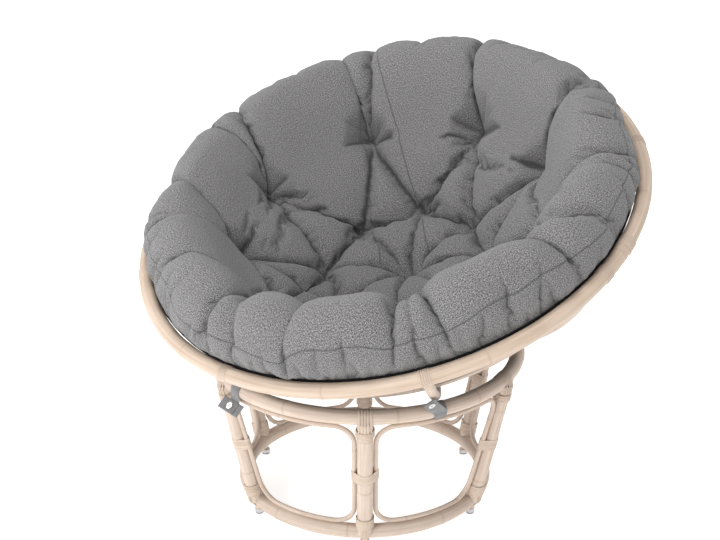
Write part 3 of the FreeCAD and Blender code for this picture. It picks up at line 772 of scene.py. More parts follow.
@dataclass(frozen=True)
class MelangeWeave:
    """Woven cover of mixed grey yarns with its stitched seams and painted shade in its folds, laid along the
    cover's UV map in metres.
    """

    name: str
    dark: Colour
    middle: Colour
    light: Colour
    edge_seam: float = 601 * MM
    edge_sway: float = 12 * MM
    panel_turn: float = 42.6
    panel_half: float = 56 * MM
    stitch: tuple[float, float] = (0.7 * MM, 1.9 * MM)

    def seams(self, w: Wiring) -> Socket:
        """Draw the stitched lines: one along the edge, and two straight ones beside the middle.

        Args:
            w: Nodes of the material.

        Returns:
            How strongly each point belongs to a line.
        """
        where = w.coordinates("UV")
        away = w.node("VectorMath", {0: where}, operation="LENGTH").outputs["Value"]
        sway = w.spread(w.noise(where, 5.0, 1.0), 0.3, 0.7, -self.edge_sway, self.edge_sway)
        ring = w.sum("ABSOLUTE", w.sum("SUBTRACT", w.sum("ADD", away, sway), self.edge_seam), 0.0)
        turned = w.coordinates("UV", turn=(0.0, 0.0, math.radians(-self.panel_turn)))
        across = w.node("SeparateXYZ", {0: turned}).outputs
        beside = w.sum("ABSOLUTE", across["X"], 0.0)
        strip = w.sum("ABSOLUTE", w.sum("SUBTRACT", beside, self.panel_half), 0.0)
        strip = w.sum("ADD", strip, w.spread(across["Y"], 0.02, 0.03, 0.01, 0.0))
        return w.spread(w.sum("MINIMUM", ring, strip), *self.stitch, 1.0, 0.0)

    def make(self) -> bpy.types.Material:
        """Build the material.

        Returns:
            The material.
        """
        w = Wiring(self.name)
        where = w.coordinates("UV")
        warp = w.noise(w.coordinates("UV", (900.0, 380.0, 1.0)), 1.0, 4.0, 0.8)
        weft = w.noise(w.coordinates("UV", (380.0, 940.0, 1.0)), 1.0, 4.0, 0.8)
        over = w.times(w.waves(where, 145.0, "X", 0.6), w.waves(where, 145.0, "Y", 0.6))
        fleck = w.noise(where, 480.0, 4.0, 0.8)
        yarns = w.sum("ADD", w.times(warp, 0.5), w.times(weft, 0.5))
        tint = w.ramp(yarns, (0.43, self.dark), (0.5, self.middle), (0.57, self.light))
        tint = w.mix(w.spread(fleck, 0.4, 0.5, 0.72, 0.0), tint, self.dark)
        tint = w.mix(w.spread(fleck, 0.52, 0.62, 0.0, 0.72), tint, self.light)
        seams = self.seams(w)
        tint = w.mix(w.times(seams, 0.45), tint, self.dark)
        # painted shade: the fold attribute darkens the weave in folds, dips and the low middle of the seat
        tint = w.mix(w.times(w.attribute("fold"), 0.74), tint, scaled(self.dark, 0.5))
        height = w.sum("ADD", w.times(over, 0.5), w.times(yarns, 0.9))
        height = w.sum("SUBTRACT", height, w.times(seams, 3.0))
        w.set(Base_Color=tint, Roughness=0.94, Normal=w.relief(height, 0.00035), Specular_IOR_Level=0.15,
              Sheen_Weight=0.15, Sheen_Roughness=0.55)
        return w.material


@dataclass(frozen=True)
class UndersideCloth:
    """Black bonded cloth with its small pressed dots."""

    name: str
    tint: Colour

    def make(self) -> bpy.types.Material:
        """Build the material.

        Returns:
            The material.
        """
        w = Wiring(self.name)
        dots = w.cells(w.coordinates("UV"), 420.0)
        felt = w.noise(w.coordinates("Object"), 700.0, 3.0, 0.6)
        height = w.sum("ADD", w.spread(dots, 0.0, 0.5), w.times(felt, 0.5))
        tint = w.mix(w.spread(felt, 0.4, 0.8), self.tint, scaled(self.tint, 2.2, 0.004))
        w.set(Base_Color=tint, Roughness=0.95, Normal=w.relief(height, 0.0004), Specular_IOR_Level=0.2)
        return w.material


@dataclass(frozen=True)
class TuftCord:
    """Twisted cord of the tufts."""

    name: str
    tint: Colour

    def make(self) -> bpy.types.Material:
        """Build the material.

        Returns:
            The material.
        """
        w = Wiring(self.name)
        twist = w.waves(w.coordinates("Object", turn=(0.6, 0.5, 0.0)), 260.0, "X", 1.0)
        tint = w.mix(twist, self.tint, scaled(self.tint, 1.8))
        w.set(Base_Color=tint, Roughness=0.9, Normal=w.relief(twist, 0.0003))
        return w.material


@dataclass(frozen=True)
class StrapLeather:
    """Dark grey leather with a fine pebbled grain and paler worn spots."""

    name: str
    tint: Colour
    worn: Colour

    def make(self) -> bpy.types.Material:
        """Build the material.

        Returns:
            The material.
        """
        w = Wiring(self.name)
        where = w.coordinates("Object")
        pebble = w.cells(where, 900.0)
        crease = w.noise(where, 60.0, 4.0, 0.6, 0.6)
        fine = w.noise(where, 1500.0, 2.0, 0.5)
        tint = w.mix(w.spread(crease, 0.4, 0.72), self.tint, self.worn)
        tint = w.mix(w.spread(pebble, 0.25, 0.6, 0.0, 0.35), tint, scaled(self.tint, 0.6))
        height = w.sum("ADD", w.times(pebble, -0.7), w.times(fine, 0.25))
        w.set(Base_Color=tint, Roughness=w.spread(crease, 0.3, 0.7, 0.5, 0.66),
              Normal=w.relief(height, 0.00035), Specular_IOR_Level=0.4)
        return w.material


def dress(obj: bpy.types.Object, material: bpy.types.Material) -> bpy.types.Object:
    """Give a piece one material, in place of any it has.

    Args:
        obj: The piece.
        material: The material.

    Returns:
        The same piece.
    """
    obj.data.materials.clear()
    obj.data.materials.append(material)
    return obj


class Finishes:
    """Every material of the chair, made once."""

    def __init__(self) -> None:
        """Build the materials."""
        scar = (0.46, 0.34, 0.25)
        rim = Rattan("rim_rattan", (0.65, 0.53, 0.43), (0.51, 0.39, 0.295), scar, 0.45)
        base = Rattan("pole_rattan", (0.66, 0.55, 0.46), (0.52, 0.41, 0.335), scar, 0.5)
        cane = Rattan(
            "split_cane", (0.68, 0.565, 0.47), (0.52, 0.41, 0.325), (0.38, 0.29, 0.22), relief=0.00015
        )
        weave = MelangeWeave(
            "melange_weave", (0.038, 0.037, 0.0375), (0.142, 0.1395, 0.1405), (0.44, 0.433, 0.436)
        )
        self.made = {
            Slot.RIM: rim.make(),
            Slot.POLE: base.make(),
            Slot.STRIP: cane.make(scarred=False),
            Slot.DOWEL: DowelWood("dowel_wood", (0.7, 0.56, 0.42), (0.58, 0.44, 0.31)).make(),
            Slot.CUP: Metal("foot_cup_metal", (0.56, 0.56, 0.57), 0.36).make(),
            Slot.PAD: PadRubber("floor_pad_rubber", (0.05, 0.05, 0.055)).make(),
            Slot.NAIL: Metal("nail_steel", (0.42, 0.4, 0.38), 0.4).make(),
            Slot.WEAVE: weave.make(),
            Slot.UNDERSIDE: UndersideCloth("black_underside", (0.008, 0.008, 0.009)).make(),
            Slot.CORD: TuftCord("tuft_cord", (0.06, 0.062, 0.066)).make(),
            Slot.LEATHER: StrapLeather("strap_leather", (0.21, 0.21, 0.213), (0.32, 0.32, 0.325)).make(),
            Slot.SNAP: Metal("snap_metal", (0.8, 0.8, 0.8), 0.26).make(),
        }

    def put(self, obj: bpy.types.Object, slot: Slot, body: str, *nodes: str) -> bpy.types.Object:
        """Dress a new piece and tie it to its body.

        Args:
            obj: The finished piece.
            slot: Its finish.
            body: The body that it rides on.
            nodes: The nodes of the part that it stands for.

        Returns:
            The same piece.
        """
        dress(obj, self.made[slot])
        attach(obj, body)
        if nodes:
            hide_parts(*nodes)
        LOG.info("%s rides on %s, %d faces", obj.name, body, len(obj.data.polygons))
        return obj

    def keep(self, frame: dict, slot: Slot, *nodes: str) -> None:
        """Dress nodes of the part that stay as they are."""
        for node in nodes:
            dress(frame["nodes"][node], self.made[slot])


# Lashings


@dataclass(frozen=True)
class Winding:
    """Turns of a winding, the climb of one turn, and where it starts along its pole."""

    turns: int
    pitch: float
    start: float


@dataclass(frozen=True)
class Strips:
    """Strips side by side over a joint: how many, a strip's pitch, and how far they run along the pole."""

    count: int
    pitch: float
    run: float

    def asides(self) -> list[float]:
        """Distance of each strip from the middle one."""
        return [self.pitch * (i - (self.count - 1) / 2) for i in range(self.count)]


@dataclass(frozen=True)
class Cane:
    """Split cane that ties the poles."""

    width: float
    thick: float
    tuck: float = 1.2 * MM
    step: float = 2.4 * MM
    loop_step: float = 3 * MM

    def strip(self, name: str, path: np.ndarray, outward: np.ndarray) -> bpy.types.Object:
        """Lay one strip along a path, its crowned side outward."""
        return sweep(name, path, outward, cane_section(self.width, self.thick))

    def over_joint(
        self, name: str, corners: np.ndarray, start: np.ndarray, end: np.ndarray, aside: float
    ) -> bpy.types.Object:
        """Pull one strip tight over a joint, in a plane beside the radial plane.

        Args:
            name: Name of the strip.
            corners: Points as (radius, height) that the strip lies against.
            start: Point where the strip starts; it runs anticlockwise.
            end: Point where it ends.
            aside: Distance of the strip's plane from the radial plane.

        Returns:
            The strip.
        """
        outline = taut_outline(np.vstack([corners, [start, end]]))
        first = int(np.argmin(((outline - start) ** 2).sum(axis=1)))
        outline = np.roll(outline, -first, axis=0)
        last = int(np.argmin(((outline - end) ** 2).sum(axis=1)))
        chain = even_path(outline[: last + 1], self.step)
        way = unit(np.gradient(chain, axis=0))
        path = np.stack([chain[:, 0], np.full(len(chain), aside), chain[:, 1]], axis=1)
        outward = np.stack([way[:, 1], np.zeros(len(chain)), -way[:, 0]], axis=1)
        return self.strip(name, path, outward)

    def wind(
        self, name: str, circles: list[tuple[float, float, float]], winding: Winding, origin: np.ndarray,
        x_way: np.ndarray, z_way: np.ndarray
    ) -> bpy.types.Object:
        """Wind the cane round a bundle of round sections.

        Args:
            name: Name of the winding.
            circles: The bundle as (x, y, radius of the cane's middle line).
            winding: Its turns, its pitch and its start.
            origin: Point on the pole that the start is measured from.
            x_way: Direction of the bundle's x.
            z_way: Direction in which the winding climbs.

        Returns:
            The winding, its ends pushed in under its turns.
        """
        turns = winding.turns
        y_way = np.cross(z_way, x_way)
        outline = taut_outline(np.vstack([circle_points(*circle) for circle in circles]))
        loop = even_path(np.vstack([outline, outline[:1]]), self.loop_step)[:-1]
        around = np.roll(loop, -1, axis=0) - np.roll(loop, 1, axis=0)
        normal = unit(np.stack([around[:, 1], -around[:, 0]], axis=1))
        flat = np.vstack([loop] * turns + [loop[:1]])
        out = np.vstack([normal] * turns + [normal[:1]])
        steps = len(flat)
        rise = winding.start + winding.pitch * turns * np.arange(steps) / (steps - 1)
        ends = np.minimum(np.arange(steps), np.arange(steps)[::-1]) / 5.0
        flat = flat - out * (self.tuck * np.clip(1.0 - ends, 0.0, 1.0) ** 2)[:, None]
        path = origin + flat[:, :1] * x_way + flat[:, 1:] * y_way + rise[:, None] * z_way
        return self.strip(name, path, out[:, :1] * x_way + out[:, 1:] * y_way)


# Base


@dataclass
class RingBase:
    """Two bent poles, six posts and six cane loops, tied with cane, on six small feet."""

    finishes: Finishes
    frame: dict
    top_r: float = 325 * MM
    top_z: float = 331 * MM
    top_d: float = 31 * MM
    low_r: float = 260 * MM
    low_z: float = 33.3 * MM
    low_d: float = 30 * MM
    splice_at: float = 100.5
    splice_gap: float = 0.4 * MM
    post_d: float = 32 * MM
    posts: int = 6
    turn: float = 10.5
    head_out: float = 8 * MM
    foot_out: float = 6 * MM
    head_drop: float = 6 * MM
    loop_d: float = 10 * MM
    loop_corner: float = 42 * MM
    loop_side: float = 21.5 * MM
    loop_lean: float = 1 * MM
    loop_gap: float = 0.4 * MM
    strap_room: float = 1.9 * MM
    cane: Cane = Cane(5.2 * MM, 1.5 * MM)
    head_cane: Cane = Cane(4.0 * MM, 1.4 * MM)
    head_strips: Strips = Strips(5, 5.7 * MM, 44 * MM)
    foot_strips: Strips = Strips(3, 5.5 * MM, 44 * MM)
    head_tie: Winding = Winding(4, 4.1 * MM, -42 * MM)
    middle_tie: Winding = Winding(5, 5.1 * MM, -12.8 * MM)
    foot_tie: Winding = Winding(5, 5.2 * MM, 18.5 * MM)
    middle_above: float = 150 * MM

    def axis(self, height: float) -> np.ndarray:
        """Find a point on the middle line of the post at azimuth 0.

        Args:
            height: Height of the point.

        Returns:
            The point.
        """
        head, foot = self.top_r + self.head_out, self.low_r + self.foot_out
        share = (height - self.low_z) / (self.top_z - self.low_z)
        return np.array([foot + (head - foot) * share, 0.0, height])

    def way_up(self) -> np.ndarray:
        """Direction up the post at azimuth 0."""
        return unit(self.axis(self.top_z) - self.axis(self.low_z))

    def way_out(self) -> np.ndarray:
        """Direction away from the base, square to the post at azimuth 0."""
        up = self.way_up()
        return np.array([up[2], 0.0, -up[0]])

    def azimuths(self) -> list[float]:
        """Azimuth of each post."""
        return [self.turn + 360.0 / self.posts * i for i in range(self.posts)]

    def ring_path(self, radius: float, height: float) -> np.ndarray:
        """Bend the middle line of a ring.

        Args:
            radius: Radius of the ring.
            height: Its height.

        Returns:
            The line's points, from one side of the butt joint to the other.
        """
        gap = math.degrees(self.splice_gap / 2 / radius)
        a = np.radians(np.linspace(self.splice_at + gap, self.splice_at + 360.0 - gap, 400))
        return level_ring(radius, height, a)

    def loop_r(self, height: float) -> float:
        """Find how far the loops are from the middle of the base.

        Args:
            height: Height of the wanted place.

        Returns:
            The distance there.
        """
        low, high = self.loop_heights()
        foot = self.low_r - self.loop_lean
        return foot + (self.top_r - foot) * (height - low) / (high - low)

    def loop_heights(self) -> tuple[float, float]:
        """Heights of the loops' lower and upper run."""
        low = self.low_z + self.low_d / 2 + self.loop_d / 2
        return low, self.top_z - self.top_d / 2 - self.loop_d / 2 - self.strap_room

    def loop_path(self) -> np.ndarray:
        """Bend the loop in the bay after azimuth 0.

        Returns:
            Points of its middle line, from one side of its joint to the other.
        """
        low, high = self.loop_heights()
        bay = 360.0 / self.posts

        def upright(side: int, height: float) -> np.ndarray:
            """Point on the upright beside the first post, or beside the next."""
            aside = self.loop_side if side == 0 else -self.loop_side
            return azimuth_turn(bay * side) @ np.array([self.loop_r(height), aside, height])

        def run(start: float, end: float, height: float) -> np.ndarray:
            """Points of a run between two azimuths."""
            return level_ring(self.loop_r(height), height, np.radians(np.linspace(start, end, 40)))

        def reach(height: float) -> float:
            """Azimuth from a post to the start of a corner."""
            return math.degrees(math.asin((self.loop_side + self.loop_corner) / self.loop_r(height)))

        joint = math.degrees(self.loop_gap / 2 / self.loop_r(low))
        bottom = (run(bay / 2 + joint, bay - reach(low), low), run(reach(low), bay / 2 - joint, low))
        top = run(bay - reach(high), reach(high), high)
        rise = [unit(upright(side, high) - upright(side, low)) for side in (0, 1)]
        corner = self.loop_corner

        def heading(points: np.ndarray, at_end: bool) -> np.ndarray:
            """Direction at one end of a run."""
            return unit(points[-1] - points[-2]) if at_end else unit(points[1] - points[0])

        sides = [
            bend(bottom[0][-1], heading(bottom[0], True), upright(1, low + corner), rise[1], 14),
            bend(upright(1, high - corner), rise[1], top[0], heading(top, False), 14),
            bend(top[-1], heading(top, True), upright(0, high - corner), -rise[0], 14),
            bend(upright(0, low + corner), -rise[0], bottom[1][0], heading(bottom[1], False), 14),
        ]
        return np.vstack([bottom[0][:-1], sides[0], sides[1], top[1:-1], sides[2], sides[3], bottom[1][1:]])

    def build_rings(self) -> None:
        """Bend the upper and the lower ring."""
        up = np.array([0.0, 0.0, 1.0])
        for name, radius, height, diameter, seed in (
            ("top_ring_pole", self.top_r, self.top_z, self.top_d, 11),
            ("bottom_ring_pole", self.low_r, self.low_z, self.low_d, 12),
        ):
            ring = pole(name, self.ring_path(radius, height), up, diameter, seed)
            self.finishes.put(ring, Slot.POLE, "base", "base_" + name[:-5])

    def build_posts(self) -> None:
        """Cut each post and cope its ends to the rings."""
        rings = ((self.top_r, self.top_z, self.top_d), (self.low_r, self.low_z, self.low_d))
        cutters = [ring_cutter(*ring, 192) for ring in rings]
        top = self.top_z - self.head_drop
        for i, azimuth in enumerate(self.azimuths()):
            line = even_path(np.stack([self.axis(self.low_z), self.axis(top)]), 0.002)
            post = pole("post_%d" % (i + 1), line, np.array([0.0, 1.0, 0.0]), self.post_d, 21 + i, 32, 0.16)
            for cutter in cutters:
                cut_with(post, cutter)
            post.data.transform(Matrix(azimuth_turn(azimuth).tolist()).to_4x4())
            self.finishes.put(smooth(post), Slot.POLE, "base", "base_post_%d" % (i + 1))
        for cutter in cutters:
            drop(cutter)

    def build_loops(self) -> None:
        """Bend a cane loop into each bay."""
        for i, azimuth in enumerate(self.azimuths()):
            path = self.loop_path() @ azimuth_turn(azimuth).T
            middle = azimuth_turn(azimuth + 180.0 / self.posts) @ np.array([1.0, 0.0, 0.0])
            loop = pole("cane_loop_%d" % (i + 1), path, middle, self.loop_d, 31 + i, 16, 0.17)
            self.finishes.put(loop, Slot.POLE, "base", "base_loop_%d" % (i + 1))

    def tie_on(self, name: str, pieces: list[bpy.types.Object], node: str) -> None:
        """Copy what was tied at azimuth 0 to every post, and dress it.

        Args:
            name: Name of the whole.
            pieces: What was tied.
            node: The node of the part that it stands for.
        """
        self.finishes.put(round_all(name, pieces, self.azimuths()), Slot.STRIP, "base", node)

    def wind_post(
        self, cane: Cane, circles: list[tuple[float, float, float]], winding: Winding, height: float
    ) -> bpy.types.Object:
        """Wind cane round the post at azimuth 0.

        Args:
            cane: The cane.
            circles: What it holds together, as (x, y, radius of the cane's middle line).
            winding: Its turns, its pitch and its start.
            height: Height on the post that the start is measured from.

        Returns:
            The winding.
        """
        return cane.wind("tie", circles, winding, self.axis(height), self.way_out(), self.way_up())

    def post_side(self, height: float, aside: float, outer: bool, proud: float) -> np.ndarray:
        """Find a point on the outer or the inner side of a post.

        Args:
            height: Height of the post's axis there.
            aside: Distance off the post's middle plane.
            outer: Whether it is the outer side.
            proud: Distance off the wood.

        Returns:
            The point as (radius, height).
        """
        reach = math.sqrt((self.post_d / 2) ** 2 - aside**2) + proud
        point = self.axis(height) + self.way_out() * (reach if outer else -reach)
        return point[[0, 2]]

    def build_head_ties(self) -> None:
        """Strips over the top ring at each post, and the winding that holds their ends."""
        half = self.cane.thick / 2
        low = self.top_z - self.head_strips.run
        ring = circle_points(self.top_r, self.top_z, self.top_d / 2 + half)
        strips = []
        for aside in self.head_strips.asides():
            heights = np.linspace(low, self.top_z - 8 * MM, 12)
            corners = [self.post_side(h, aside, True, half) for h in heights]
            end = self.post_side(low, aside, False, half)
            strips.append(self.cane.over_joint("strip", np.vstack([ring, corners]), corners[0], end, aside))
        self.tie_on("head_cane_strips", strips, "head_strips")
        over_strips = [(0.0, 0.0, self.post_d / 2 + self.cane.thick * 1.5)]
        tie = self.wind_post(self.head_cane, over_strips, self.head_tie, self.top_z)
        self.tie_on("head_cane_ties", [tie], "head_windings")

    def build_middle_ties(self) -> None:
        """Cane round each post and the uprights of the two loops beside it."""
        height = self.low_z + self.middle_above
        inward = self.loop_r(height) - self.axis(height)[0]
        reach = self.cane.thick / 2 + 0.1 * MM
        bundle = [(0.0, 0.0, self.post_d / 2 + reach)]
        bundle += [(inward, side * self.loop_side, self.loop_d / 2 + reach) for side in (-1, 1)]
        tie = self.wind_post(self.cane, bundle, self.middle_tie, height)
        self.tie_on("middle_cane_ties", [tie], "middle_windings")

    def build_foot_ties(self) -> None:
        """Strips over the bottom ring at each foot, and the winding above them."""
        half = self.cane.thick / 2
        arc = np.radians(np.linspace(-52.0, 20.0, 24))
        ring = np.stack([np.cos(arc), np.sin(arc)], axis=1) * (self.low_d / 2 + half)
        ring += [self.low_r, self.low_z]
        strips = []
        for aside in self.foot_strips.asides():
            heights = np.linspace(self.low_z + 2 * MM, self.low_z + self.foot_strips.run, 12)
            corners = [self.post_side(h, aside, True, half) for h in heights]
            strips.append(
                self.cane.over_joint("strip", np.vstack([ring, corners]), ring[0], corners[-1], aside)
            )
        self.tie_on("foot_cane_strips", strips, "foot_strips")
        over_strips = [(0.0, 0.0, self.post_d / 2 + self.cane.thick * 1.5)]
        tie = self.wind_post(self.cane, over_strips, self.foot_tie, self.low_z)
        self.tie_on("foot_cane_ties", [tie], "foot_windings")

    def build(self) -> None:
        """Build and dress the whole base."""
        self.build_rings()
        self.build_posts()
        self.build_loops()
        self.build_head_ties()
        self.build_middle_ties()
        self.build_foot_ties()
        self.finishes.keep(self.frame, Slot.DOWEL, "ring_splice_dowels", "post_head_dowels", "foot_dowels")
        self.finishes.keep(self.frame, Slot.CUP, "foot_cups")
        self.finishes.keep(self.frame, Slot.PAD, "foot_pads")


# Bowl


@dataclass
class BowlFrame:
    """Place of the bowl: upright about the middle of its sphere, then tilted and lifted."""

    tilt: float = 21.6
    centre_z: float = 820.548 * MM
    rim_below: float = 217 * MM

    def matrix(self) -> Matrix:
        """Matrix from the upright bowl to the frame of the part."""
        lift = Matrix.Translation((0.0, 0.0, self.centre_z))
        return lift @ Matrix.Rotation(math.radians(self.tilt), 4, "X")

    def put(self, points: np.ndarray) -> np.ndarray:
        """Points of the upright bowl, taken to the frame of the part."""
        m = np.array(self.matrix())
        return points @ m[:3, :3].T + m[:3, 3]

    def way(self, vector: tuple[float, float, float]) -> np.ndarray:
        """Direction of the upright bowl, taken to the frame of the part."""
        return np.array(self.matrix())[:3, :3] @ np.array(vector)


@dataclass
class Bowl:
    """Rim pole, eight ribs and three hoops, with cane where the ribs meet the rim."""

    finishes: Finishes
    frame: dict
    place: BowlFrame
    rim_r: float = 534 * MM
    rim_d: float = 32 * MM
    rim_splice_at: float = 9.5
    splice_gap: float = 0.4 * MM
    rib_r: float = 559 * MM
    rib_d: float = 22 * MM
    rib_start: float = 6.5
    ribs: int = 8
    hoop_d: float = 12 * MM
    hoop_r: float = 541.9 * MM
    hoops: tuple[tuple[str, float], ...] = (("hub", 9.0), ("middle", 29.0), ("upper", 49.0))
    cane: Cane = Cane(3.8 * MM, 1.4 * MM)
    rim_strips: Strips = Strips(5, 4.4 * MM, 46 * MM)
    rim_tie: Winding = Winding(5, 4.3 * MM, -44 * MM)
    splice_tie: Winding = Winding(7, 4.2 * MM, -14.5 * MM)

    def rim_middle(self) -> np.ndarray:
        """Middle of the rim's section, as (radius, height)."""
        return np.array([self.rim_r, -self.place.rim_below])

    def rib_leaves(self) -> float:
        """Polar angle where a rib leaves the sphere and runs straight to the rim."""
        rim = self.rim_middle()
        return math.degrees(math.atan2(rim[0], -rim[1]) - math.acos(self.rib_r / float(np.linalg.norm(rim))))

    def on_sphere(self, radius: float, polar: float) -> np.ndarray:
        """Point at a polar angle from the bottom, as (radius, height)."""
        p = math.radians(polar)
        return np.array([radius * math.sin(p), -radius * math.cos(p)])

    def rib_way(self) -> np.ndarray:
        """Direction of a rib's straight end, as (radius, height)."""
        return unit(self.rim_middle() - self.on_sphere(self.rib_r, self.rib_leaves()))

    def turns(self) -> list[float]:
        """Turn that brings +X to each rib."""
        return [360.0 / self.ribs * i - 90.0 for i in range(self.ribs)]

    def build_rim(self) -> None:
        """Bend the rim, from one side of its joint to the other."""
        gap = math.degrees(self.splice_gap / 2 / self.rim_r)
        a = np.radians(np.linspace(self.rim_splice_at + gap, self.rim_splice_at + 360.0 - gap, 560))
        line = self.place.put(level_ring(self.rim_r, -self.place.rim_below, a))
        rim = pole("rim_pole", line, self.place.way((0, 0, 1)), self.rim_d, 41, 32, 0.3)
        self.finishes.put(rim, Slot.RIM, "bowl", "bowl_rim")

    def build_ribs(self) -> None:
        """Bend each rib and cope its end to the rim."""
        cutter = ring_cutter(self.rim_r, -self.place.rim_below, self.rim_d, 256)
        polars = np.linspace(self.rib_start, self.rib_leaves(), 120)
        curve = [self.on_sphere(self.rib_r, polar) for polar in polars]
        flat = even_path(np.vstack([curve, [self.rim_middle()]]), 0.003)
        line = np.stack([flat[:, 0], np.zeros(len(flat)), flat[:, 1]], axis=1)
        for i, turn in enumerate(self.turns()):
            rib = pole("rib_%d" % (i + 1), line, np.array([0.0, 1.0, 0.0]), self.rib_d, 51 + i, 24, 0.19)
            cut_with(rib, cutter)
            rib.data.transform(self.place.matrix() @ Matrix(azimuth_turn(turn).tolist()).to_4x4())
            self.finishes.put(smooth(rib), Slot.POLE, "bowl", "bowl_rib_%d" % (i + 1))
        drop(cutter)

    def build_hoops(self) -> None:
        """Bend the three hoops inside the ribs."""
        a = np.radians(np.linspace(0.05, 359.95, 260))
        for i, (name, polar) in enumerate(self.hoops):
            line = self.place.put(level_ring(*self.on_sphere(self.hoop_r, polar), a))
            hoop = pole(name + "_hoop", line, self.place.way((0, 0, 1)), self.hoop_d, 61 + i, 16, 0.24)
            self.finishes.put(hoop, Slot.POLE, "bowl", "bowl_%s_hoop" % name)

    def tie_on(self, name: str, pieces: list[bpy.types.Object], node: str) -> None:
        """Copy what was tied at the first rib to every rib, put it in its place and dress it.

        Args:
            name: Name of the whole.
            pieces: What was tied.
            node: The node of the part that it stands for.
        """
        whole = round_all(name, pieces, self.turns())
        whole.data.transform(self.place.matrix())
        self.finishes.put(whole, Slot.STRIP, "bowl", node)

    def build_rim_ties(self) -> None:
        """Strips over the rim at each rib, and the windings below them."""
        middle, way = self.rim_middle(), self.rib_way()
        square = np.array([way[1], -way[0]])
        half = self.cane.thick / 2
        strips = []
        for aside in self.rim_strips.asides():
            reach = math.sqrt((self.rib_d / 2) ** 2 - aside**2) + half
            start, end = (middle - way * self.rim_strips.run + square * reach * side for side in (1, -1))
            corners = np.vstack([circle_points(*middle, self.rim_d / 2 + half), [start + way * 20 * MM]])
            strips.append(self.cane.over_joint("strip", corners, start, end, aside))
        self.tie_on("rim_cane_strips", strips, "rim_strips")
        over_strips = [(0.0, 0.0, self.rib_d / 2 + self.cane.thick * 1.5)]
        middle, way, square = (np.array([flat[0], 0.0, flat[1]]) for flat in (middle, way, square))
        tie = self.cane.wind("tie", over_strips, self.rim_tie, middle, square, way)
        self.tie_on("rim_cane_ties", [tie], "rim_windings")

    def build_splice_tie(self) -> None:
        """Cane wound over the joint of the rim."""
        turn = azimuth_turn(self.rim_splice_at)
        along = turn @ np.array([0.0, 1.0, 0.0])
        middle = turn @ np.array([self.rim_r, 0.0, -self.place.rim_below])
        pole_round = [(0.0, 0.0, self.rim_d / 2 + self.cane.thick / 2 + 0.25 * MM)]
        up = np.array([0.0, 0.0, 1.0])
        tie = self.cane.wind("splice_cane_tie", pole_round, self.splice_tie, middle, up, along)
        tie.data.transform(self.place.matrix())
        self.finishes.put(tie, Slot.STRIP, "bowl", "rim_splice_winding")

    def build(self) -> None:
        """Build and dress the whole bowl."""
        self.build_rim()
        self.build_ribs()
        self.build_hoops()
        self.build_rim_ties()
        self.build_splice_tie()
        self.finishes.keep(self.frame, Slot.DOWEL, "rim_splice_dowel")
        self.finishes.keep(self.frame, Slot.NAIL, "bowl_nails")


# Straps


@dataclass(frozen=True)
class StrapPlace:
    """Where a strap sits on the top ring and how its tongue hangs.

    The tongue is shifted along the ring and above it, leans out and turns in its own plane. Its share
    below is how much of its width lies on the lower side of the line that it starts from.
    """

    name: str
    azimuth: float
    along: float
    above: float
    turn: float
    lean: float
    below: float
    length: float
    tab_start: float


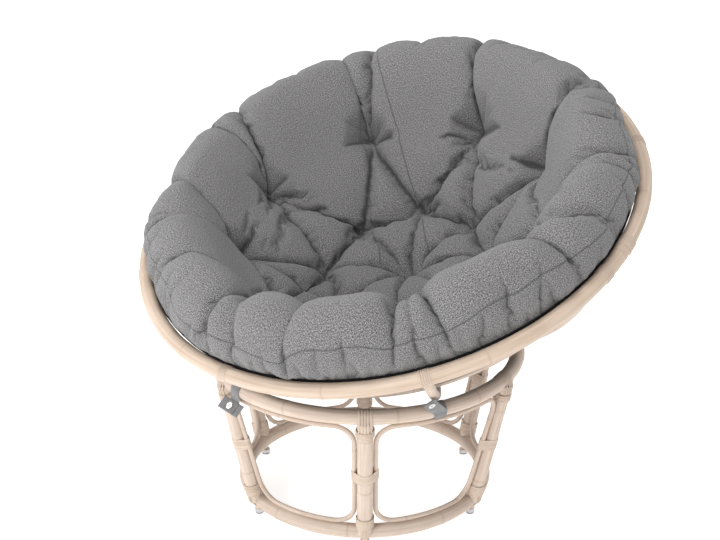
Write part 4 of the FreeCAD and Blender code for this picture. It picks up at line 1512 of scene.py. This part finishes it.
@dataclass
class Straps:
    """Two leather bands round the top ring, each closed with a ring snap."""

    finishes: Finishes
    frame: dict
    ring_r: float = 325 * MM
    ring_z: float = 331 * MM
    ring_d: float = 31 * MM
    width: float = 27 * MM
    thick: float = 1.4 * MM
    clear: float = 0.15 * MM
    tab_clear: float = 0.3 * MM
    tongue_under: float = 5 * MM
    belly: float = 0.12 * MM
    places: tuple[StrapPlace, ...] = (
        StrapPlace(
            "strap_left", azimuth=260.0, along=27 * MM, above=-20 * MM, turn=90.0, lean=-48.0, below=1.0,
            length=58 * MM, tab_start=10 * MM
        ),
        StrapPlace(
            "strap_right", azimuth=336.5, along=0.0, above=0.0, turn=40.0, lean=28.011, below=0.5,
            length=62 * MM, tab_start=18.9 * MM
        ),
    )

    def seat(self, strap: StrapPlace) -> Matrix:
        """Find the place of a tongue that is built along +Z with its face in the YZ plane.

        Args:
            strap: Its strap.

        Returns:
            The matrix to its place on the ring.
        """
        face = self.ring_r + self.ring_d / 2 + self.clear + self.thick
        shift = Matrix.Translation((face, strap.along, self.ring_z + strap.above))
        turn = Matrix.Rotation(math.radians(strap.turn), 4, "X")
        lean = Matrix.Rotation(math.radians(strap.lean), 4, "Y")
        return Matrix.Rotation(math.radians(strap.azimuth), 4, "Z") @ shift @ lean @ turn

    def flap(self, name: str, strap: StrapPlace, face: float, start: float, end: float) -> bpy.types.Object:
        """Straight piece of strap along a tongue, slightly curved.

        Args:
            name: Name of the piece.
            strap: Its strap.
            face: Distance of its middle surface from the tongue's back.
            start: Where it starts along the tongue.
            end: Where it ends.

        Returns:
            The piece in its place.
        """
        z = np.linspace(start, end, 24)
        middle = self.width * (0.5 - strap.below)
        belly = np.sin(np.pi * (z - start) / (end - start)) ** 2 * self.belly
        path = np.column_stack([face + belly, np.full(len(z), middle), z])
        piece = sweep(name, path, np.array([1.0, 0.0, 0.0]), band_section(self.width, self.thick))
        piece.data.transform(self.seat(strap))
        return piece

    def band(self, strap: StrapPlace) -> bpy.types.Object:
        """Make the band round the ring's pole, with its tongue and neck.

        Args:
            strap: The strap.

        Returns:
            The band.
        """
        section = band_section(self.width, self.thick)
        a = np.linspace(0.0, 2 * math.pi, 61)
        out = np.stack([np.cos(a), np.zeros(len(a)), np.sin(a)], axis=1)
        r = self.ring_d / 2 + self.clear + self.thick / 2
        loop = sweep("band", out * r + [self.ring_r, 0.0, self.ring_z], out, section)
        turn = Matrix.Rotation(math.radians(strap.azimuth), 4, "Z")
        loop.data.transform(turn)
        pieces = [loop, self.flap("tongue", strap, -self.thick / 2, -self.tongue_under, strap.length)]
        if strap.above < 0:
            z = np.linspace(self.ring_z + strap.above - 1.0 * MM, self.ring_z, 12)
            down = np.column_stack([np.full(len(z), self.ring_r + r), np.zeros(len(z)), z])
            neck = sweep("neck", down, np.array([1.0, 0.0, 0.0]), section)
            neck.data.transform(turn)
            pieces.append(neck)
        return join(strap.name + "_leather_band", pieces)

    def build(self) -> None:
        """Build and dress both straps."""
        for strap in self.places:
            self.finishes.put(self.band(strap), Slot.LEATHER, "base", strap.name + "_band")
            face = self.tab_clear + self.thick / 2
            tab = self.flap(strap.name + "_leather_tab", strap, face, strap.tab_start, strap.length)
            self.finishes.put(tab, Slot.LEATHER, strap.name, strap.name + "_tab")
            self.finishes.keep(self.frame, Slot.SNAP, strap.name + "_snap_cap", strap.name + "_snap_stud")


# Cushion


Fold = tuple[np.ndarray, np.ndarray, float, float]


def off_line(points: np.ndarray, start: np.ndarray, end: np.ndarray) -> tuple[np.ndarray, np.ndarray]:
    """Measure points against a straight line.

    Args:
        points: Rows of (x, y).
        start: Start of the line.
        end: Its end.

    Returns:
        How far along the line each point lies, from 0 to 1, and how far off it.
    """
    way = end - start
    t = np.clip(((points - start) @ way) / float(way @ way), 0.0, 1.0)
    return t, np.linalg.norm(points - (start + t[:, None] * way), axis=1)


@dataclass(frozen=True)
class Inflation:
    """How the cover is blown up as cloth, held at its tufts and at its seam."""

    frames: int = 26
    quality: int = 5
    pressure: float = 14.0
    slack: float = 0.17
    tension: float = 40.0
    compression: float = 10.0
    shear: float = 8.0
    bending: float = 0.15
    air_damping: float = 3.0
    damping: float = 5.0
    most: float = 34 * MM
    least_hold: float = 0.05

    def run(self, cover: bpy.types.Object, hold: np.ndarray) -> None:
        """Blow the cover up and keep its last shape.

        Args:
            cover: Open cover, with its seam on its border.
            hold: How firmly each corner is kept where it is, from 0 to 1.
        """
        start = read_points(cover)
        group = cover.vertex_groups.new(name="held")
        for corner in np.nonzero(hold > self.least_hold)[0]:
            group.add([int(corner)], float(hold[corner]), "REPLACE")
        cloth = cover.modifiers.new("cloth", "CLOTH")
        fabric = cloth.settings
        fabric.quality, fabric.air_damping = self.quality, self.air_damping
        fabric.tension_stiffness, fabric.compression_stiffness = self.tension, self.compression
        fabric.shear_stiffness, fabric.bending_stiffness = self.shear, self.bending
        fabric.tension_damping = fabric.compression_damping = fabric.shear_damping = self.damping
        fabric.vertex_group_mass = "held"
        fabric.use_pressure, fabric.uniform_pressure_force = True, self.pressure
        fabric.shrink_min = -self.slack
        fabric.effector_weights.gravity = 0.0
        cloth.collision_settings.use_collision = False
        scene = bpy.context.scene
        scene.frame_start, scene.frame_end = 1, self.frames
        for frame in range(1, self.frames + 1):
            scene.frame_set(frame)
        apply(cover, cloth)
        scene.frame_set(1)
        moved = read_points(cover) - start
        far = np.linalg.norm(moved, axis=1, keepdims=True)
        write_points(cover, start + moved * np.minimum(1.0, self.most / np.maximum(far, 1e-9)))
        cover.vertex_groups.clear()


@dataclass
class Cushion:
    """Round cushion of puffed lobes, drawn in at its tufts, over a black underside."""

    finishes: Finishes
    frame: dict
    place: BowlFrame
    seam_r: float = 516 * MM
    seam_h: float = 11 * MM
    crown_r: float = 482 * MM
    crown_h: float = 33 * MM
    crown_round: float = 52 * MM
    side_break: float = 8.0
    dish_depth: float = 171 * MM
    dish_slope: float = 45.3
    cover_r: float = 535.6 * MM
    underside_turn_in: float = 60.5
    rim_r: float = 534 * MM
    rim_clear: float = 19.2 * MM
    cells: int = 180
    start_low: float = -4 * MM
    swell_all: float = 6 * MM
    swell_low: float = 44 * MM
    low_side: float = 32.0
    tuft_hold: float = 7 * MM
    fold_hold: float = 0.27
    inner_tufts: tuple[float, ...] = (-61.0, -16.0, 29.0, 74.0, 119.0, 158.0, 204.0, 251.0)
    outer_tufts: tuple[float, ...] = (-53.0, -17.0, 15.0, 47.0, 79.0, 111.0, 146.0, 184.0, 227.0, 272.0)
    edge_folds: tuple[tuple[int, float, float], ...] = (
        # outer tuft, azimuth where the fold meets the seam, depth in mm
        (0, -72.0, 15.0), (0, -50.0, 9.0), (1, -36.0, 8.0), (1, -3.4, 19.0), (1, 6.0, 16.0),
        (2, 17.0, 11.0), (3, 39.0, 19.0), (3, 45.0, 12.0), (3, 52.5, 18.0), (4, 84.0, 19.0),
        (4, 101.0, 18.0), (5, 114.0, 10.0), (5, 123.0, 18.0), (6, 150.0, 13.0), (6, 156.0, 17.0),
        (7, 191.0, 19.0), (8, 217.0, 19.0), (8, 229.5, 16.0), (9, 258.0, 19.0), (9, 269.0, 12.0),
    )
    inner_polar: float = 26.3
    outer_polar: float = 52.5
    inner_sunk: float = 35 * MM
    outer_sunk: float = 39 * MM
    grain: float = 0.2 * MM
    lobe_from: float = 55 * MM
    lobe_wide: float = 235 * MM
    tuft_near: float = 12 * MM
    tuft_far: float = 40 * MM
    blunt: float = 2.5 * MM
    pucker_depth: float = 7 * MM
    hold_beside: float = 5 * MM
    seam_flat: float = 34 * MM
    bottom_polars: tuple[float, ...] = (54.0, 46.0, 38.0, 30.0, 22.0, 14.0, 7.0, 2.0, 0.0)
    skirt_low: tuple[float, float] = (9.5 * MM, 10.7 * MM)
    skirt_beside: float = 2.5 * MM
    skirt_lean: tuple[float, float] = (0.592, 0.806)
    hem_d: float = 4.4 * MM

    def crown_z(self) -> float:
        """Height of the crown's centre in the upright bowl."""
        return self.crown_h - self.place.rim_below

    def dish_round(self) -> float:
        """Work out the arc that hollows the seat and runs smoothly into the straight slope to the crown.

        Returns:
            Its radius.
        """
        a = math.radians(self.dish_slope)
        rise = (self.crown_h + self.dish_depth) * math.cos(a)
        return (self.crown_r * math.sin(a) - rise - self.crown_round) / (1.0 - math.cos(a))

    def dish_top(self) -> float:
        """Height of the centre of the arc that hollows the seat."""
        return self.dish_round() - self.place.rim_below - self.dish_depth

    @functools.cached_property
    def profile(self) -> np.ndarray:
        """Draw the cover's section from the middle of the seat out to the seam.

        Returns:
            Even points as (radius, height).
        """
        slope = math.radians(self.dish_slope)
        a = np.linspace(0.0, slope, 120)
        dish = np.stack([np.sin(a), -np.cos(a)], axis=1) * self.dish_round() + [0.0, self.dish_top()]
        b = np.linspace(math.pi / 2 + slope, math.radians(self.side_break), 90)
        crown = np.stack([np.cos(b), np.sin(b)], axis=1) * self.crown_round + [self.crown_r, self.crown_z()]
        seam = np.array([[self.seam_r, self.seam_h - self.place.rim_below]])
        return even_path(np.vstack([dish, crown, seam]), 0.0015)

    @property
    def reach(self) -> float:
        """Distance along the cover from its middle to its seam."""
        return float(running_length(self.profile)[-1])

    def reach_at(self, polar: float) -> float:
        """Distance along the cover from its middle to a polar angle of the seat."""
        angle = np.degrees(np.arctan2(self.profile[:, 0], -self.profile[:, 1]))
        return float(running_length(self.profile)[int(np.argmax(angle >= polar))])

    def flat(self) -> np.ndarray:
        """Lay the cover out flat: a square grid of points pulled to a disc.

        Returns:
            Rows of (x, y), the middle of the seat at (0, 0).
        """
        t = np.linspace(-1.0, 1.0, self.cells + 1)
        y, x = np.meshgrid(t, t, indexing="ij")
        wide = np.abs(x) > np.abs(y)
        share = np.where(wide, np.abs(x), np.abs(y))
        with np.errstate(divide="ignore", invalid="ignore"):
            a = np.where(wide, math.pi / 4 * y / x, math.pi / 2 - math.pi / 4 * x / y)
        a = np.nan_to_num(a) + np.where((wide & (x < 0)) | (~wide & (y < 0)), math.pi, 0.0)
        return np.stack([share * np.cos(a), share * np.sin(a)], axis=2).reshape(-1, 2) * self.reach

    def flat_point(self, reach: float, azimuth: float) -> np.ndarray:
        """Point of the cover laid out flat; an azimuth of 0 faces -Y."""
        a = math.radians(azimuth - 90.0)
        return np.array([math.cos(a), math.sin(a)]) * reach

    def tufts(self) -> list[tuple[np.ndarray, float]]:
        """Place the tufts on the flat cover.

        Returns:
            The place and the depth of the middle one, the inner ones and the outer ones.
        """
        inner, outer = self.reach_at(self.inner_polar), self.reach_at(self.outer_polar)
        found = [(np.zeros(2), self.inner_sunk)]
        found += [(self.flat_point(inner, a), self.inner_sunk) for a in self.inner_tufts]
        return found + [(self.flat_point(outer, a), self.outer_sunk) for a in self.outer_tufts]

    def folds(self) -> list[Fold]:
        """Draw the fold lines on the flat cover, from tuft to tuft and from the outer tufts to the seam.

        Returns:
            Each fold as (start, end, depth, width).
        """
        middle, *places = [point for point, _ in self.tufts()]
        inner, outer = places[:len(self.inner_tufts)], places[len(self.inner_tufts):]
        found = []
        for i, point in enumerate(inner):
            found.append((middle, point, 10 * MM, 10 * MM))
            found.append((point, inner[(i + 1) % len(inner)], 20 * MM, 15 * MM))
        for i, point in enumerate(outer):
            nearest = sorted(inner, key=lambda p: float(np.linalg.norm(p - point)))[:2]
            found += [(point, other, 18 * MM, 13 * MM) for other in nearest]
            found.append((point, outer[(i + 1) % len(outer)], 5 * MM, 20 * MM))
        for tuft, azimuth, depth in self.edge_folds:
            found.append((outer[tuft], self.flat_point(self.reach - 12 * MM, azimuth), depth * MM, 12 * MM))
        return found

    def gathers(self) -> list[Fold]:
        """Draw the short puckers of the cover at its seam, closer together beside the folds.

        Returns:
            Each pucker as (start, end, depth, width).
        """
        rng = random.Random(7)
        places = [rng.uniform(-180.0, 180.0) for _ in range(34)]
        for _, azimuth, _ in self.edge_folds:
            places += [azimuth + rng.choice((-1, 1)) * rng.uniform(2.0, 8.0) for _ in range(2)]
        found = []
        for azimuth in places:
            lean, long = rng.uniform(-2.0, 2.0), rng.uniform(0.045, 0.14)
            start = self.flat_point(self.reach - 4 * MM, azimuth)
            end = self.flat_point(self.reach - long, azimuth + lean)
            found.append((start, end, rng.uniform(2.0, 5.0) * MM, rng.uniform(4.0, 7.0) * MM))
        return found

    def drawn_in(self, flat: np.ndarray, fold: Fold) -> np.ndarray:
        """How far one fold draws in each point of the flat cover.

        Args:
            flat: Points of the flat cover.
            fold: Start, end, depth and width of the fold.

        Returns:
            The depth at each point, least at the inner end of a pucker.
        """
        start, end, depth, width = fold
        t, away = off_line(flat, start, end)
        away = np.sqrt(away**2 + self.blunt**2) - self.blunt
        fade = 1.0 if depth > self.pucker_depth else (1.0 - t) ** 0.7
        return depth * fade * (0.55 * np.exp(-away / width) + 0.45 * np.exp(-((away / (3.4 * width)) ** 2)))

    def swell(self, flat: np.ndarray) -> np.ndarray:
        """Make the outer lobes fuller than the plain form, most where the filling sinks to the low side.

        Args:
            flat: Points of the flat cover.

        Returns:
            The added height at each point.
        """
        edge = self.reach - np.linalg.norm(flat, axis=1)
        turn = np.arctan2(flat[:, 1], flat[:, 0]) - math.radians(self.low_side - 90.0)
        low = ((1.0 + np.cos(turn)) / 2.0) ** 1.5
        lobe = np.sin(np.pi * np.clip((edge - self.lobe_from) / self.lobe_wide, 0, 1)) ** 2
        return (self.swell_all + self.swell_low * low) * lobe

    def relief(self, flat: np.ndarray) -> np.ndarray:
        """Work out the height of the cover over its plain form before it is blown up.

        Args:
            flat: Points of the flat cover.

        Returns:
            The height at each point.
        """
        edge = self.reach - np.linalg.norm(flat, axis=1)
        ease = np.clip((edge - 10 * MM) / (170 * MM), 0.0, 1.0)
        ease = 0.2 + 0.8 * ease**2 * (3.0 - 2.0 * ease)
        deep = sum(self.drawn_in(flat, fold) ** 3 for fold in self.folds()) ** (1 / 3)
        fine = sum(self.drawn_in(flat, fold) ** 2 for fold in self.gathers()) ** 0.5
        swell = self.swell(flat)
        height = self.start_low + swell - deep * ease * (1.0 + swell / (40 * MM)) - fine
        for point, depth in self.tufts():
            away = np.linalg.norm(flat - point, axis=1)
            pull = 0.5 * np.exp(-away / self.tuft_near) + 0.5 * np.exp(-((away / self.tuft_far) ** 2))
            height = height * (1.0 - pull) - depth * pull
        height += np.random.RandomState(5).normal(0.0, self.grain, len(height))
        return height * np.clip(edge / self.seam_flat, 0.0, 1.0) ** 0.6

    def hold(self, flat: np.ndarray) -> np.ndarray:
        """Say how firmly the cover is kept in place: wholly at its seam and tufts, softly along its folds.

        Args:
            flat: Points of the flat cover.

        Returns:
            From 0 to 1 for each point.
        """
        firm = np.zeros(len(flat))
        for start, end, depth, _ in self.folds():
            away = off_line(flat, start, end)[1]
            kept = self.fold_hold * min(1.0, max(0.0, (depth - 10 * MM) / (8 * MM)))
            firm = np.maximum(firm, kept * np.exp(-((away / self.hold_beside) ** 2)))
        firm[self.reach - np.linalg.norm(flat, axis=1) < 1 * MM] = 1.0
        for point, _ in self.tufts():
            away = np.linalg.norm(flat - point, axis=1)
            firm[away < max(self.tuft_hold, float(away.min()) + 1e-6)] = 1.0
        return firm

    def paint_fold_shade(self, cover: bpy.types.Object) -> None:
        """Mark the painted shade of the weave: how deep each point lies in a fold, a dip or the seat.

        Args:
            cover: The cover, which gets the attribute.
        """
        edges = np.zeros(len(cover.data.edges) * 2, np.int32)
        cover.data.edges.foreach_get("vertices", edges)
        ends = edges.reshape(-1, 2)
        points = read_points(cover)
        near = np.bincount(ends.ravel(), minlength=len(points))[:, None]
        normals = np.zeros(len(points) * 3, np.float32)
        cover.data.vertex_normals.foreach_get("vector", normals)
        evened, sunk = points, []
        for step in range(1, 41):
            total = np.zeros_like(points)
            for a, b in ((0, 1), (1, 0)):
                for axis in range(3):
                    total[:, axis] += np.bincount(ends[:, a], evened[ends[:, b], axis], len(points))
            evened = 0.5 * (evened + total / near)
            if step in (5, 40):
                sunk.append(((evened - points) * normals.reshape(-1, 3)).sum(axis=1))
        fold = np.clip((sunk[0] - 0.12 * MM) / (1.0 * MM), 0.0, 1.0)
        dip = np.clip((sunk[1] - 1.0 * MM) / (9.0 * MM), 0.0, 1.0)
        seat = np.clip((-self.place.rim_below - points[:, 2] - 30 * MM) / (120 * MM), 0.0, 1.0)
        # painted shade: deep folds, broad dips and the low middle of the seat darken the weave
        shade = 1.0 - (1.0 - fold) * (1.0 - 0.55 * dip) * (1.0 - 0.26 * seat)
        mark = cover.data.attributes.new("fold", "FLOAT", "POINT")
        mark.data.foreach_set("value", shade.astype(np.float32))

    def clear_of_rim(self, cover: bpy.types.Object) -> None:
        """Push the cover's points off the rim pole.

        Args:
            cover: The cover.
        """
        points = read_points(cover)
        out = np.linalg.norm(points[:, :2], axis=1)
        offset = np.stack([out - self.rim_r, points[:, 2] + self.place.rim_below], axis=1)
        away = np.linalg.norm(offset, axis=1, keepdims=True)
        offset *= np.maximum(1.0, self.rim_clear / np.maximum(away, 1e-9))
        wanted = offset[:, 0] + self.rim_r
        points[:, :2] *= (wanted / np.maximum(out, 1e-9))[:, None]
        points[:, 2] = offset[:, 1] - self.place.rim_below
        write_points(cover, points)

    def bottom(self, cover: bpy.types.Object) -> bpy.types.Object:
        """Make the plain bottom of the cushion.

        Args:
            cover: The cover, whose border it starts from.

        Returns:
            The bottom, from the border down along the bowl.
        """
        edit(cover)
        bpy.ops.mesh.select_all(action="DESELECT")
        bpy.ops.mesh.select_mode(type="VERT")
        bpy.ops.mesh.select_non_manifold()
        bpy.ops.object.mode_set(mode="OBJECT")
        rim = np.array([v.co for v in cover.data.vertices if v.select])
        rim = rim[np.argsort(np.arctan2(rim[:, 1], rim[:, 0]))]
        border = np.vstack([rim, rim[:1]])
        turn = np.arctan2(border[:, 1], border[:, 0])
        polars = np.radians((self.underside_turn_in, *self.bottom_polars))
        bowl = np.stack([np.sin(polars), -np.cos(polars)], axis=1) * (self.cover_r - 1.5 * MM)
        seam = np.array([self.seam_r - 2 * MM, self.seam_h - self.place.rim_below])
        side = [seam * (1 - t) + bowl[0] * t for t in (0.2, 0.45, 0.7)]
        stack = np.array([border] + [level_ring(r, z, turn) for r, z in [*side, *bowl]])
        return lay_grid("bottom", stack, stack[:, :, :2])

    def cover(self) -> bpy.types.Object:
        """Lay the cover on a grid, blow it up as cloth and sew a plain bottom to it.

        Returns:
            The closed cover.
        """
        flat = self.flat()
        along = running_length(self.profile)
        way = unit(np.gradient(self.profile, axis=0))
        distance = np.linalg.norm(flat, axis=1)
        height = self.relief(flat)
        r, z, way_r, way_z = [np.interp(distance, along, column) for column in (*self.profile.T, *way.T)]
        around = flat / np.maximum(distance, 1e-9)[:, None]
        points = np.column_stack([around * (r - way_z * height)[:, None], z + way_r * height])
        side = self.cells + 1
        cover = lay_grid("cushion_cover", points.reshape(side, side, 3), flat.reshape(side, side, 2))
        Inflation().run(cover, self.hold(flat))
        self.clear_of_rim(cover)
        finer = cover.modifiers.new("finer", "SUBSURF")
        finer.levels = finer.render_levels = 1
        apply(cover, finer)
        # painted shade of the folds, dips and seat, stored for the weave
        self.paint_fold_shade(cover)
        whole = join("cushion_cover", [cover, self.bottom(cover)])
        whole.data.transform(self.place.matrix())
        return smooth(close_shell(whole), 180.0)

    def underside(self) -> bpy.types.Object:
        """Make the black cloth under the cushion, which bulges a little between the hoops and out to the rim.

        Returns:
            The cloth.
        """
        p = np.radians(np.linspace(0.0, self.underside_turn_in, 90))
        bulge = 2.6 * MM * np.sin(np.pi * np.clip((np.degrees(p) - 9.0) / 20.0, 0.0, 2.0)) ** 2
        line = np.stack([np.sin(p), -np.cos(p)], axis=1) * (self.cover_r - 0.7 * MM + bulge)[:, None]
        seam = np.array([self.seam_r + 1.5 * MM, self.seam_h - self.place.rim_below])
        beside_rim = seam - [self.skirt_beside, self.seam_h]
        under_rim = seam - [self.skirt_low[0], self.seam_h + self.skirt_low[1]]
        lean = unit(np.array(self.skirt_lean))
        line = np.vstack([
            line, bend(line[-1], unit(line[-1] - line[-2]), under_rim, lean, 20)[1:],
            bend(under_rim, lean, beside_rim, np.array([0.05, 1.0]), 8)[1:], seam,
        ])
        a = np.radians(np.linspace(0.0, 360.0, 361))
        wrinkle = 0.35 * MM * np.sin(a * 47) * np.sin(a * 11 + 1.0)
        grow = np.linspace(0.0, 1.0, len(line))[:, None]
        points = level_ring(line[:, :1] + wrinkle[None, :] * grow, line[:, 1:], a)
        along = running_length(line)
        uv = level_ring(along[:, None], 0.0, a)[:, :, :2]
        cloth = lay_grid("underside_cloth", points, uv)
        close_shell(cloth, fill=False)
        cloth.data.transform(self.place.matrix())
        wall = cloth.modifiers.new("wall", "SOLIDIFY")
        wall.thickness, wall.offset = 1.0 * MM, -1.0
        apply(cloth, wall)
        return smooth(cloth)

    def hem(self) -> bpy.types.Object:
        """Make the rolled black hem along the seam, under the edge of the cushion.

        Returns:
            The hem.
        """
        a = np.radians(np.linspace(0.0, 360.0, 481))
        radius = self.seam_r + 0.6 * MM + 0.3 * MM * np.sin(a * 61)
        line = self.place.put(level_ring(radius, self.seam_h - self.place.rim_below, a))
        return sweep("underside_hem", line, self.place.way((0, 0, 1)), round_section(self.hem_d / 2, 10))

    def build(self) -> None:
        """Build and dress the cushion."""
        cover = self.cover()
        self.finishes.put(cover, Slot.WEAVE, "cushion", "cushion")
        self.finishes.put(self.underside(), Slot.UNDERSIDE, "cushion", "cushion_underside")
        self.finishes.put(self.hem(), Slot.UNDERSIDE, "cushion")
        self.finishes.keep(self.frame, Slot.CORD, "tuft_ties")


# Studio


@dataclass(frozen=True)
class Lamp:
    """One large soft light: its place, the size of its face and its power in watts."""

    name: str
    place: tuple[float, float, float]
    size: float
    power: float


@dataclass
class Studio:
    """Pale floor, soft lights and the camera at the photograph's view."""

    eye: tuple[float, float, float] = (2.1308, -2.5085, 1.8948)
    sight: tuple[float, float, float] = (-0.5987, 0.7004, -0.3885)
    lens: float = 85.19
    floor_size: float = 60.0
    floor_below: float = 0.2 * MM
    sky: float = 0.56
    aim: tuple[float, float, float] = (0.0, 0.0, 0.45)
    lamps: tuple[Lamp, ...] = (
        Lamp("overhead_softbox", (0.2, -0.6, 3.4), 1.6, 36.0),
        Lamp("front_softbox", (0.6, -3.6, 2.0), 1.8, 60.0),
        Lamp("left_softbox", (-3.4, -2.0, 2.0), 1.6, 48.0),
        Lamp("back_softbox", (0.8, 3.6, 2.2), 2.0, 20.0),
    )

    def camera(self) -> None:
        """Set up the camera."""
        bpy.ops.object.camera_add(location=self.eye)
        camera = bpy.context.active_object
        camera.name = "photo_camera"
        camera.rotation_euler = Vector(self.sight).to_track_quat("-Z", "Y").to_euler()
        camera.data.sensor_width = 36.0
        camera.data.lens = self.lens
        camera.data.clip_end = 200.0
        bpy.context.scene.camera = camera

    def floor(self) -> None:
        """Lay the floor."""
        bpy.ops.mesh.primitive_plane_add(size=self.floor_size, location=(0.0, 0.0, -self.floor_below))
        floor = bpy.context.active_object
        floor.name = "floor"
        w = Wiring("pale_floor")
        w.set(Base_Color=(0.9, 0.9, 0.9), Roughness=0.9, Specular_IOR_Level=0.1,
              Emission_Color=(1.0, 1.0, 1.0), Emission_Strength=0.62)
        dress(floor, w.material)

    def light(self, lamp: Lamp) -> None:
        """Hang one light that faces the chair.

        Args:
            lamp: The light.
        """
        bpy.ops.object.light_add(type="AREA", location=lamp.place)
        hung = bpy.context.active_object
        hung.name = lamp.name
        hung.data.shape, hung.data.size, hung.data.energy = "DISK", lamp.size, lamp.power
        way = Vector(self.aim) - Vector(lamp.place)
        hung.rotation_euler = way.to_track_quat("-Z", "Y").to_euler()

    def build(self) -> None:
        """Build the studio."""
        self.camera()
        self.floor()
        for lamp in self.lamps:
            self.light(lamp)
        world = bpy.data.worlds.new("studio_world")
        bpy.context.scene.world = world
        world.use_nodes = True
        sky = world.node_tree.nodes["Background"]
        sky.inputs["Color"].default_value = (1.0, 1.0, 1.0, 1.0)
        sky.inputs["Strength"].default_value = self.sky
        bpy.context.scene.view_settings.view_transform = "Standard"


def main() -> None:
    """Build the chair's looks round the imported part."""
    logging.basicConfig(level=logging.INFO, format="%(name)s: %(message)s")
    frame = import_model()
    Studio().build()
    finishes = Finishes()
    place = BowlFrame()
    RingBase(finishes, frame).build()
    Bowl(finishes, frame, place).build()
    Straps(finishes, frame).build()
    Cushion(finishes, frame, place).build()


if __name__ == "__main__":
    main()
